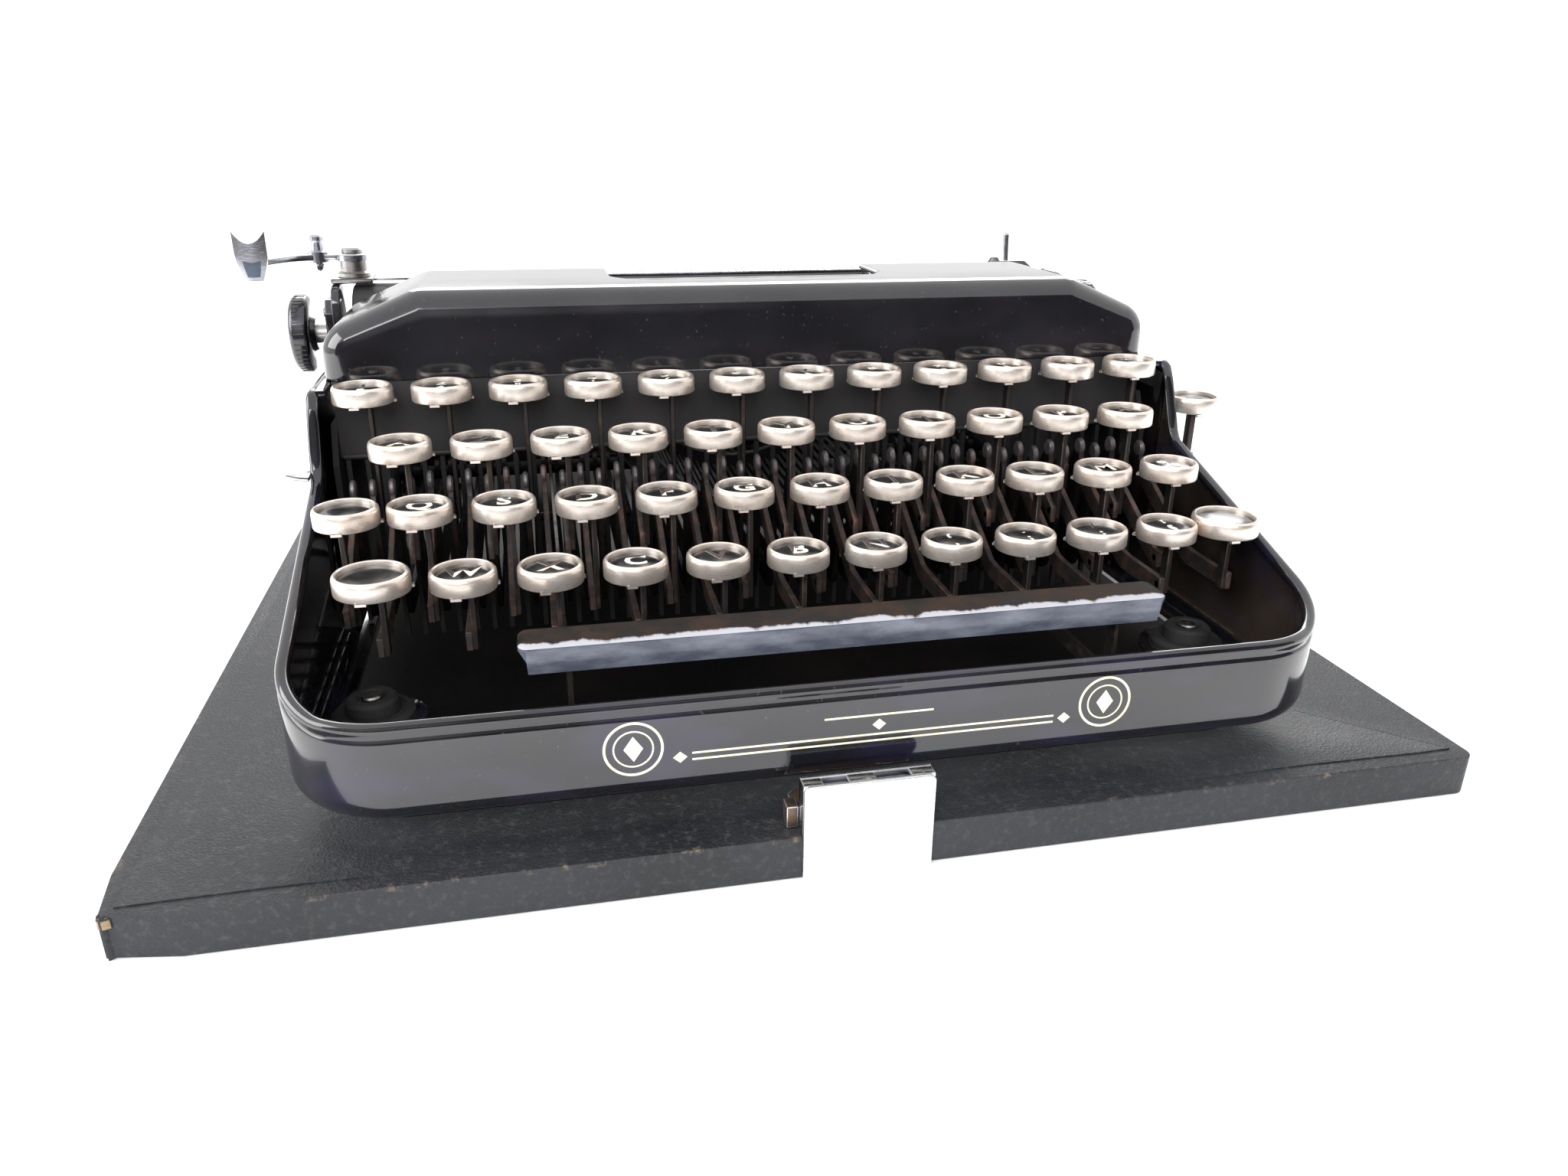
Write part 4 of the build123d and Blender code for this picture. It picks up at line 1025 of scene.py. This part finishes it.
def add_key_top(piece, x, distance, top, radius, label):
    """Rolled nickel ring, black face and printed legend."""
    y = back(distance)
    ring = [
        (radius - 2.0, -4.35), (radius - 0.4, -4.45), (radius - 0.1, -4.3), (radius, -4.0),
        (radius, -1.15),
        (radius - 0.12, -0.55), (radius - 0.42, -0.12), (radius - 0.78, 0.0), (radius - 1.05, -0.22),
        (radius - 1.15, -0.75), (radius - 1.18, -1.5), (radius - 2.0, -1.6),
    ]
    piece.lathe([(r, top + z) for r, z in ring], (x, y, 0), NICKEL, "Z", 44)
    base = [(0, -4.4), (radius - 1.9, -4.4), (radius - 1.9, -4.0), (0, -4.0)]
    piece.lathe([(r, top + z) for r, z in base], (x, y, 0), STEEL, "Z", 24)
    face = [(0, -1.7), (radius - 1.16, -1.7), (radius - 1.16, -1.25), (radius - 2.4, -1.02),
            (radius / 2, -0.9), (0, -0.86)]
    piece.lathe([(r, top + z) for r, z in face], (x, y, 0), FACE, "Z", 36)
    for angle in (-102, 18, 138):
        spot = math.radians(angle)
        cx, cy = x + (radius - 0.5) * math.cos(spot), y + (radius - 0.5) * math.sin(spot)
        piece.box((cx - 1.3, cy - 0.5, top - 5.0), (cx + 1.3, cy + 0.3, top - 4.1), NICKEL, 0.15, 1)
    level = top - 0.80
    if len(label) == 1:
        piece.text(label, (x, y, level), 7.8, IVORY, 0.95)
    elif len(label) == 2:
        piece.text(label[0], (x, y + 2.5, level - 0.02), 4.5, IVORY)
        piece.text(label[1], (x, y - 2.5, level - 0.02), 4.5, IVORY)


LEGENDS = {
    "row1": ["1&", "2é", "3\"", "4'", "5(", "6-", "7è", "8_", "9ç", "0à", "°)", "+="],
    "row2": list("AZERTYUIOP^"),
    "row3": list("QSDFGHJKLM%"),
    "row4": list("WXCVBN") + ["?,", ".;", "/:", "!§"],
}
KEY_DISTANCE = {"row1": 101.4, "row2": 83.3, "row3": 65.9, "row4": 47.8}
KEY_TOP = {"row1": 87.9, "row2": 78.1, "row3": 67.5, "row4": 57.3}
KEY_RADIUS, SHIFT_RADIUS, SHIFT_TOP = 7.4, 8.3, 58.0
SLOT_PITCH = 4.75
LEFT_SHIFT_LEVER, RIGHT_SHIFT_LEVER, LOCK_LEVER = -99.75, 109.25, -109.25


def make_type_keys():
    """The 44 type keys, each on its own lever."""
    for row, labels in LEGENDS.items():
        for number, label in enumerate(labels):
            node = f"key_{row}_{number + 1:02d}"
            low, high = corners(node)
            x, top = (low.x + high.x) / 2, KEY_TOP[row]
            key = Piece(f"{node}_look")
            head_z = 62.0 + 1.6 * (round(x / SLOT_PITCH) % 2)
            add_lever(key, x, KEY_DISTANCE[row], head_z)
            add_stem(key, x, 1, KEY_DISTANCE[row], top)
            add_key_top(key, x, KEY_DISTANCE[row], top, KEY_RADIUS, label)
            key.finish(node, "key_nickel", node)


def make_shift_keys():
    """Shift keys on their cross rod, and the shift lock."""
    low, high = corners("shift_keys")
    shift = Piece("shift_keys_look")
    left, right = low.x + SHIFT_RADIUS, high.x - SHIFT_RADIUS
    for lever_x, key_x, side in ((LEFT_SHIFT_LEVER, left, 1), (RIGHT_SHIFT_LEVER, right, -1)):
        add_lever(shift, lever_x, KEY_DISTANCE["row4"], 62.0, 205.0)
        add_stem(shift, lever_x, side, KEY_DISTANCE["row4"], SHIFT_TOP)
        add_key_top(shift, key_x, KEY_DISTANCE["row4"], SHIFT_TOP, SHIFT_RADIUS, "")
    rod = [(-99.0, back(205.0), 17.0), (108.5, back(205.0), 17.0)]
    shift.tube(rod, 1.5, STEEL, 14)
    shift.finish("shift", "key_nickel", "shift_keys")
    low, high = corners("shift_lock_key")
    lock = Piece("shift_lock_key_look")
    key_x = high.x - KEY_RADIUS
    add_lever(lock, LOCK_LEVER, KEY_DISTANCE["row3"], 62.0)
    add_stem(lock, LOCK_LEVER, 1, KEY_DISTANCE["row3"], KEY_TOP["row3"])
    add_key_top(lock, key_x, KEY_DISTANCE["row3"], KEY_TOP["row3"], KEY_RADIUS, "")
    lock.finish("shift_lock", "key_nickel", "shift_lock_key")


def make_backspace():
    """Backspace key on its lever outside the casing."""
    high = corners("backspace_key")[1]
    key = Piece("backspace_key_look")
    x, distance, top = high.x - KEY_RADIUS, 101.0, high.z
    arm = [(98.6, 57.2), (104.2, 57.0), (150.0, 61.0), (150.0, 67.0), (104.2, 62.4), (98.6, 62.0)]
    key.prism([(back(d), z) for d, z in arm], 118.85, 120.55, STEEL, "X", 0.3)
    hub = [(2.1, 0), (5.0, 0), (5.0, 1.75), (2.1, 1.75)]
    key.lathe(hub, (118.82, back(150.0), 64.0), STEEL, "X", 28)
    key.box((120.3, back(99.2), 57.5), (128.0, back(102.8), 59.5), STEEL, 0.3)
    key.box((125.6, back(99.6), 59.0), (127.4, back(102.4), top - 4.2), STEEL, 0.3)
    add_key_top(key, x, distance, top, KEY_RADIUS, "<")
    key.finish("backspace", "key_nickel", "backspace_key")


def make_space_bar():
    """Space bar with its rounded top edge, on two arms."""
    bar = Piece("space_bar_look")
    low, high = SPACE_LOW, SPACE_HIGH
    rear = low.y + 10.0
    plan = rounded_plan(Vector((low.x, low.y)), Vector((high.x, rear)), 2.2, 6, 3.0)
    top = high.z
    loops = [(1.5, top - 0.02), (0.55, top - 0.15), (0.12, top - 0.55), (0.0, top - 1.2),
             (0.25, top - 4.5), (0.7, top - 6.4)]
    inner = [(1.5, top - 6.45), (1.6, top - 5.0), (1.5, top - 1.7)]

    def ends(x, inset, z):
        """Extra draft at the bar's two ends."""
        drop = max(0.0, top - 1.2 - z)
        return inset + (0.45 * drop if abs(x - (low.x + high.x) / 2) > (high.x - low.x) / 2 - 2.3 else 0.0)

    points, count = [], len(plan)
    for inset, z in loops + inner:
        for x, y, nx, ny in plan:
            share = ends(x, inset, z) if abs(nx) > 0.3 else inset
            points.append((x - nx * share, y - ny * inset, z))
    rows = len(loops) + len(inner)
    strips = [
        [[r * count + k, r * count + (k + 1) % count, (r + 1) * count + (k + 1) % count,
          (r + 1) * count + k]
         for k in range(count)]
        for r in range(rows - 1)
    ]
    rounded = 2
    bar.add(points, [list(range(count))] + sum(strips[:rounded], []), BAR_TOP)
    underside = [[(rows - 1) * count + k for k in range(count)]]
    bar.add(points, sum(strips[rounded:], []) + underside, BAR_FRONT)
    for slot in (-12.5, 13.5):
        x = slot * SLOT_PITCH
        arm = [(20.6, 49.4), (20.6, 27.0), (225.0, 27.2), (225.0, 32.0), (30.0, 31.0), (24.4, 34.0),
               (23.9, 49.4)]
        bar.prism([(back(d), z) for d, z in arm], x - 0.6, x + 0.6, STEEL, "X", 0.15, 1)
        bar.lathe([(2.6, -0.6), (5.0, -0.6), (5.0, 0.6), (2.6, 0.6)], (x, back(225.0), 30.0), STEEL,
                  "X", 20)
        bar.box((x - 3.2, back(19.6), 48.4), (x + 3.2, back(25.4), 49.5), STEEL, 0.2)
        bar.screw((x + 2.0, back(22.4), 48.4), 1.2, SCREW_STEEL, "Z", -1)
    bar.finish("space_bar", "space_bar_enamel", "space_bar")


# ---------------------------------------------------------------- chassis, type basket, spools
def paint_node(node, material, extra=None):
    """Gives a CAD node its material; extra is (material, test on a face's centre in mm)."""
    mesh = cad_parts[node].data
    mesh.materials.clear()
    mesh.materials.append(material)
    for polygon in mesh.polygons:
        polygon.material_index = 0
    if extra:
        mesh.materials.append(extra[0])
        for polygon in mesh.polygons:
            if extra[1](polygon.center / MM):
                polygon.material_index = 1


def make_chassis():
    """Chassis paint and its small fittings."""
    paint_node(
        "chassis", CHASSIS_STEEL,
        (PANEL, lambda c: abs(c.y - back(111.75)) < 1.0 and c.z > 66.9 and abs(c.x) < 113.3),
    )
    extras = Piece("chassis_fittings")
    # rolled lip of the panel behind the keys, spring drum boss, bell and rear tie, and screws on the tie
    # and rails
    extras.tube([(-112.5, back(111.0), 67.2), (112.5, back(111.0), 67.2)], 0.8, PANEL, 10)
    drum = (-76.0, back(251.5), 43.0)
    extras.lathe([(0, 0), (16.6, 0), (16.6, 1.4), (14.0, 1.4), (13.2, 0.9), (5.0, 0.9), (4.2, 2.6),
                  (2.6, 3.2), (0, 3.2)],
                 drum, SCREW_STEEL, "Y", 48)
    extras.lathe([(0, 0), (1.2, 0), (1.2, 4.6), (0, 4.6)], drum, SCREW_STEEL, "Y", 16)
    bell = (72.0, back(238.0), 44.0)
    extras.lathe([(2.0, 2.0), (13.0, 5.0), (16.0, 9.5), (16.6, 12.5), (16.0, 12.5), (15.2, 9.9),
                  (12.4, 6.0), (2.0, 3.0)],
                 bell, NICKEL, "Y", 48)
    extras.lathe([(0, 0), (2.1, 0), (2.1, 5.4), (1.4, 6.2), (0, 6.2)], bell, SCREW_STEEL, "Y", 20)
    extras.prism([(back(238.0), 57.0), (back(256.0), 57.0), (back(256.0), 58.4), (back(239.4), 58.4),
                  (back(239.4), 60.0), (back(238.0), 60.0)],
                 -112.0, 112.0, CHASSIS_STEEL, "X", 0.2)
    for x in (-104.0, -52.0, 0.0, 52.0, 104.0):
        extras.screw((x, back(250.0), 58.4), 2.0, SCREW_STEEL, turn=x)
    for rail_back in (182.0, 206.0):
        for x in (-96.0, 0.0, 96.0):
            extras.screw((x, back(rail_back), 66.2), 1.3, SCREW_STEEL, turn=x)
    # type guide at the printing point, on two posts from the rail
    for x0, x1 in ((-5.5, -3.6), (3.6, 5.5)):
        extras.box((x0, back(169.2), 63.0), (x1, back(170.6), 88.0), SCREW_STEEL, 0.25)
    extras.box((-9.0, back(169.0), 61.0), (9.0, back(180.5), 63.2), SCREW_STEEL, 0.3)
    extras.finish("machine", "blued_steel")


def make_basket():
    """Type bars' paint, darkened to near black as painted shade, and the curved rest in front of them."""
    # painted shade: the type bars are near black where they stand in the dark under the cover
    paint_node("type_bars", TYPE_BARS_PAINTED_SHADE, (CHASSIS_STEEL, lambda c: c.y > back(157.8)))
    rest = Piece("type_rest")
    spread = math.radians(66)
    arc_points = []
    for k in range(41):
        angle = -spread + 2 * spread * k / 40
        arc_points.append((44.6 * math.sin(angle), back(122.0), 84.0 - 44.6 * math.cos(angle)))
    rest.tube(arc_points, 1.3, RIBBON, 10)
    rest.finish("type_basket", "type_steel")


def make_spools():
    """Two ribbon spools with wound ribbon."""
    spools = Piece("ribbon_spools_look")
    spool_y = back(132.0)
    for x in (-84.0, 84.0):
        centre = (x, spool_y, 0)
        flange = [(3.0, 80.0), (17.0, 80.0), (17.0, 80.8), (3.0, 80.8)]
        spools.lathe(flange, centre, CHROME, "Z", 48)
        spools.lathe([(r, z + 11.1) for r, z in flange], centre, CHROME, "Z", 48)
        turns = [(14.2 + 0.35 * (k % 2), 80.9 + 10.1 * k / 14) for k in range(15)]
        wound = [(3.2, 80.8)] + turns + [(3.2, 91.1)]
        spools.lathe(wound, centre, RIBBON, "Z", 48)
        spools.lathe([(0, 75.6), (3.0, 75.6), (3.0, 94.6), (2.2, 95.8), (0, 96.0)], centre, SCREW_STEEL,
                     "Z", 24)
        for k in range(3):
            angle = 2 * math.pi * k / 3 + 0.4
            spools.lathe([(0, 91.8), (1.6, 91.8), (1.6, 92.1), (0, 92.1)],
                         (x + 9 * math.cos(angle), spool_y + 9 * math.sin(angle), 0), RUBBER_AND_SLOT_SHADE, "Z", 18)
    spools.finish("machine", "spool_steel", "ribbon_spools")


# ---------------------------------------------------------------- carriage
AXIS = (back(190.0), 87.0)
RETURN_PIVOT = (-115.0, back(190.0))
BAIL_PIVOT = (back(213.0), 97.0)
RELEASE_PIVOT = (back(210.5), 92.0)


def make_carriage():
    """Carriage ends, base, rack, paper table and small parts."""
    frame_piece = Piece("carriage_frame_look")
    inner, outer = 119.0, corners("carriage_frame")[1].x
    plate = [(177.5, 68.4), (213.2, 68.4), (213.4, 88.0), (211.0, 93.5), (204.0, 99.0), (197.0, 102.4)]
    plate += [(184.0, 102.4), (180.5, 101.0), (178.0, 97.0), (177.2, 90.0)]
    for side in (-1, 1):
        x0, x1 = sorted((side * inner, side * outer))
        frame_piece.prism([(back(d), z) for d, z in plate], x0, x1, ENAMEL, "X", 0.5, 3)
        boss = [(3.1, 0), (6.5, 0), (6.5, side * 1.8), (5.6, side * 2.4), (3.1, side * 2.4)]
        frame_piece.lathe(boss, (side * outer, AXIS[0], AXIS[1]), SCREW_STEEL, "X", 32)
        for distance, z in ((183.0, 75.0), (207.0, 75.0), (206.0, 91.0)):
            frame_piece.screw((side * outer, back(distance), z), 2.0, SCREW_STEEL, "X", side * 0.8, z)
    frame_piece.box((-outer, back(177.3), 68.0), (outer, back(213.4), 70.0), ENAMEL, 0.5)
    frame_piece.box((-outer, back(184.2), 102.6), (-109.2, back(195.8), 104.15), SCREW_STEEL, 0.4)
    # toothed margin rack and its two stops, on the back
    teeth = []
    for k in range(int(2 * 112 / 2.5)):
        x = -112 + 2.5 * k
        teeth += [(x, 76.9), (x + 1.2, 76.9), (x + 1.4, 75.6), (x + 2.3, 75.6)]
    rack = [(-118.9, 71.6), (118.9, 71.6), (118.9, 76.9)] + teeth[::-1] + [(-118.9, 76.9)]
    frame_piece.prism(rack, back(210.7), back(213.3), SCREW_STEEL, "Y", 0)
    for x in (-88.0, 92.0):
        frame_piece.box((x - 3, back(209.6), 73.0), (x + 3, back(213.48), 81.5), CHROME, 0.4)
    # paper table: curved sheet with a rolled top edge
    sheet = [(207.2, 70.0), (208.4, 70.0), (208.5, 84.5), (209.6, 89.5), (211.6, 94.2), (214.2, 98.4),
             (216.6, 101.4)]
    sheet += [(215.6, 101.7), (213.0, 98.8), (210.4, 94.6), (208.5, 90.0), (207.3, 85.0)]
    frame_piece.prism([(back(d), z) for d, z in sheet], -56.4, 56.4, ENAMEL, "X", 0.15, 1)
    frame_piece.tube([(-56.4, back(216.1), 101.2), (56.4, back(216.1), 101.2)], 0.62, ENAMEL, 12)
    ear = [(207.2, 70.2), (216.6, 70.2), (216.9, 100.4), (215.6, 101.5), (211.4, 101.5), (209.0, 97.0),
           (207.2, 92.0)]
    for side in (-1, 1):
        x0, x1 = sorted((side * 58.0, side * 56.5))
        frame_piece.prism([(back(d), z) for d, z in ear], x0, x1, ENAMEL, "X", 0.3)
        frame_piece.lathe([(0, 0), (1.48, 0), (1.48, side * 2.6), (0, side * 3.0)],
                          (side * 58.0, *BAIL_PIVOT), SCREW_STEEL, "X", 20)
    # feed roller shafts below the platen and the release lever's pin
    for distance, z in ((181.5, 72.2), (200.5, 72.0)):
        shaft = [(-118.8, back(distance), z), (118.8, back(distance), z)]
        frame_piece.tube(shaft, 0.9, SCREW_STEEL, 12)
    frame_piece.lathe([(0, 0), (1.48, 0), (1.48, 10.4), (0, 10.4)], (108.6, *RELEASE_PIVOT),
                      SCREW_STEEL, "X", 20)
    frame_piece.lathe([(0, 104.1), (2.0, 104.1), (2.0, 111.35), (3.2, 111.35), (3.2, 112.4),
                       (2.6, 113.0), (0, 113.0)],
                      (*RETURN_PIVOT, 0), SCREW_STEEL, "Z", 28)
    # paper finger on the left: thin strip ending in a shallow dome
    frame_piece.box((-110.0, back(191.3), 103.0), (-84.0, back(188.7), 103.7), CHROME, 0.15)
    dome = [(0, 103.1), (8.0, 103.1), (7.8, 103.7), (6.4, 104.6), (4.0, 105.3), (1.5, 105.6),
            (0, 105.6)]
    frame_piece.lathe(dome, (-77.5, back(190.0), 0), CHROME, "Z", 48)
    # small bracket on the right end plate
    bracket = [(97.5, 99.0), (119.3, 99.0), (119.3, 100.6), (114.0, 104.6), (104.5, 104.6),
               (103.6, 106.0)]
    bracket += [(101.0, 106.0), (100.2, 104.6), (98.2, 103.8), (97.2, 101.5)]
    frame_piece.prism(bracket, back(202.2), back(200.8), SCREW_STEEL, "Y", 0.3)
    # line-space ratchet housing on the left
    housing = [(182.5, 76.0), (197.5, 76.0), (199.0, 80.0), (199.0, 94.0), (196.0, 98.0), (184.0, 98.0),
               (181.0, 94.0), (181.0, 80.0)]
    frame_piece.prism([(back(d), z) for d, z in housing], -124.2, -121.4, ENAMEL, "X", 0.6, 3)
    frame_piece.screw((-124.2, back(185.5), 94.0), 1.6, SCREW_STEEL, "X", -0.8)
    frame_piece.screw((-124.2, back(194.5), 80.0), 1.6, SCREW_STEEL, "X", -0.8)
    frame_piece.finish("carriage", "carriage_enamel", "carriage_frame")


def make_platen():
    """Platen roller, its axle and two ribbed knobs."""
    platen = Piece("platen_look")
    half, radius = 115.5, PLATEN_HIGH.z - 87.0
    body = [(3.1, -half), (radius - 0.5, -half), (radius, -half + 0.5), (radius, half - 0.5),
            (radius - 0.5, half), (3.1, half)]
    platen.lathe([(r, h) for r, h in body], (0, *AXIS), PLATEN_RUBBER, "X", 72)
    for side in (-1, 1):
        cap = [(0, side * half), (11.0, side * half), (10.4, side * (half + 0.8)),
               (4.6, side * (half + 0.8)), (4.2, side * (half + 2.4)), (0, side * (half + 2.4))]
        platen.lathe(cap, (0, *AXIS), SCREW_STEEL, "X", 36)
    platen.tube([(PLATEN_LOW.x + 4, *AXIS), (PLATEN_HIGH.x - 4, *AXIS)], 3.0, SCREW_STEEL, 24)
    ribs = 44
    outer, knob_radius = PLATEN_HIGH.x, 11.8
    inner = outer - 5.8
    for side in (-1, 1):
        profile = [(0, inner - 1.4), (5.0, inner - 1.4), (5.6, inner), (knob_radius - 1.2, inner)]
        profile += [(knob_radius - 0.3, inner + 0.5), (knob_radius - 0.1, inner + 1.1)]
        profile += [(knob_radius - 0.1, outer - 1.9), (knob_radius - 0.5, outer - 1.0)]
        profile += [(knob_radius - 1.6, outer - 0.3), (8.6, outer), (5.4, outer - 0.1),
                    (4.8, outer - 0.8), (0, outer - 0.9)]
        platen.lathe([(r, side * h) for r, h in profile], (0, *AXIS), BAKELITE, "X", 60)
        for k in range(ribs):
            angle = 2 * math.pi * k / ribs
            cy = AXIS[0] + (knob_radius - 0.22) * math.cos(angle)
            cz = AXIS[1] + (knob_radius - 0.22) * math.sin(angle)
            platen.tube([(side * (inner + 0.9), cy, cz), (side * (outer - 1.7), cy, cz)], 0.26,
                        BAKELITE, 6)
        platen.screw((side * (outer - 0.9), *AXIS), 2.6, SCREW_STEEL, "X", side * 0.5)
    platen.finish("platen", "platen_rubber", "platen")


def make_return_lever():
    """Return lever: hub, curved arm, knuckle and finger plate."""
    lever = Piece("return_lever_look")
    pivot, tip = Vector(RETURN_PIVOT), Vector((-140.0, back(170.0)))
    bend = Vector((-135.5, back(193.0)))
    arm_low, arm_high = 109.4, 111.2
    lever.lathe([(2.1, 104.35), (5.0, 104.35), (5.0, 105.4), (4.1, 106.0), (4.1, 109.4), (2.1, 109.4)],
                (*pivot, 0), SCREW_STEEL, "Z", 36)
    lever.lathe([(2.1, 109.3), (4.9, 109.3), (4.9, 110.9), (4.5, 111.2), (2.1, 111.2)], (*pivot, 0),
                CHROME, "Z", 36)
    steps = 24
    points, start = [], 0.10
    for k in range(steps + 1):
        t = start + (1 - start) * k / steps
        place = pivot * (1 - t) ** 2 + bend * 2 * t * (1 - t) + tip * t * t
        along = ((bend - pivot) * (1 - t) + (tip - bend) * t).normalized()
        across = Vector((-along.y, along.x)) * (2.9 - 1.2 * t)
        for side in (place + across, place - across):
            points += [(side.x, side.y, arm_low), (side.x, side.y, arm_high)]
    faces = [[0, 1, 3, 2], [4 * steps + i for i in (0, 2, 3, 1)]]
    for k in range(steps):
        a, b = 4 * k, 4 * (k + 1)
        faces += [[a, a + 1, b + 1, b], [a + 2, b + 2, b + 3, a + 3], [a + 1, a + 3, b + 3, b + 1],
                  [a, b, b + 2, a + 2]]
    lever.add(points, faces, CHROME, 0.3)
    # link knuckle on the arm with its tall pin
    t = 0.27
    knuckle = pivot * (1 - t) ** 2 + bend * 2 * t * (1 - t) + tip * t * t
    pin = [(0, 105.8), (1.0, 106.6), (1.7, 108.2), (3.1, 108.8), (3.1, 111.8), (1.9, 112.3),
           (1.6, 114.6)]
    pin += [(2.1, 115.2), (2.0, 116.3), (1.3, 116.9), (0, 117.0)]
    lever.lathe(pin, (knuckle.x, knuckle.y, 0), CHROME, "Z", 28)
    # finger plate: dished, narrow at the foot, with two raised corners
    low_z, rise, horn = 105.5, 10.6, 3.4
    plate_points, rows, columns = [], 10, 14
    for thickness in (-0.1, 0.9):
        for r in range(rows + 1):
            v = r / rows
            for c in range(columns + 1):
                u = 2 * c / columns - 1
                half = 2.4 + 2.1 * math.sin(math.pi / 2 * min(1.0, 1.6 * v))
                z = low_z + v * (rise + horn * u * u)
                dish = 0.8 * (1 - u * u) * (0.3 + 0.7 * v)
                plate_points.append((tip.x + u * half, tip.y - dish + thickness, z))
    row_length = columns + 1
    layer = (rows + 1) * row_length
    plate_faces, shade_faces = [], []
    for r in range(rows):
        for c in range(columns):
            a = r * row_length + c
            quad = [a, a + 1, a + row_length + 1, a + row_length]
            # the lower middle of the dish takes the blue painted shade
            (shade_faces if 1 <= r <= 4 and 3 <= c <= 10 else plate_faces).append(quad)
            plate_faces.append([layer + i for i in reversed(quad)])
    for c in range(columns):
        for a, b in ((c, c + 1), (rows * row_length + c, rows * row_length + c + 1)):
            plate_faces.append([a, b, b + layer, a + layer])
    for r in range(rows):
        for c in (0, columns):
            a, b = r * row_length + c, (r + 1) * row_length + c
            plate_faces.append([a, b, b + layer, a + layer])
    lever.add(plate_points, plate_faces, CHROME)
    # painted shade: a dark blue patch in the lower middle of the dished finger plate
    lever.add(plate_points, shade_faces, FINGER_PLATE_SHADE)
    lever.finish("return_lever", "bright_chrome", "return_lever")


def make_bail():
    """Paper bail with its scale, and the paper release lever."""
    bail = Piece("paper_bail_look")
    bail.box((-59.8, back(183.1), 103.5), (59.8, back(188.9), 104.7), CHROME, 0.35, 2)
    for k in range(45):
        x = -55.0 + 2.5 * k
        long_mark = k % 4 == 0
        bail.box((x - 0.12, back(183.3), 104.68),
                 (x + 0.12, back(186.6 if long_mark else 185.2), 104.76), RUBBER_AND_SLOT_SHADE, 0)
    arm = [(188.0, 103.0), (196.0, 102.3), (204.0, 98.9), (210.6, 95.0), (215.0, 98.6), (206.0, 103.2),
           (197.0, 104.7), (188.0, 104.7)]
    for side in (-1, 1):
        x0, x1 = sorted((side * 60.0, side * 58.55))
        bail.prism([(back(d), z) for d, z in arm], x0, x1, CHROME, "X", 0.25)
        bail.lathe([(1.6, 0), (3.6, 0), (3.6, 1.4), (1.6, 1.4)],
                   (x0, *BAIL_PIVOT), CHROME, "X", 24)
    bail.finish("paper_bail", "bright_chrome", "paper_bail")
    release = Piece("paper_release_look")
    low, high = corners("paper_release_lever")
    finger = [(208.9, 93.0), (212.1, 93.0), (212.4, 102.0), (213.2, 108.0), (213.5, 112.5),
              (213.0, 113.4), (212.2, 113.6)]
    finger += [(211.5, 112.9), (211.2, 108.0), (210.4, 102.0)]
    release.prism([(back(d), z) for d, z in finger], low.x, high.x, CHROME, "X", 0.4, 3)
    release.lathe([(1.56, 0), (3.4, 0), (3.4, 2.0), (1.56, 2.0)], (low.x, *RELEASE_PIVOT), CHROME, "X",
                  28)
    release.finish("paper_release", "bright_chrome", "paper_release_lever")


make_camera()
make_studio()
make_board()
make_hardware()
make_casing()
make_feet()
make_ornament()
make_cover()
make_type_keys()
make_shift_keys()
make_backspace()
make_space_bar()
make_chassis()
make_basket()
make_spools()
make_carriage()
make_platen()
make_return_lever()
make_bail()
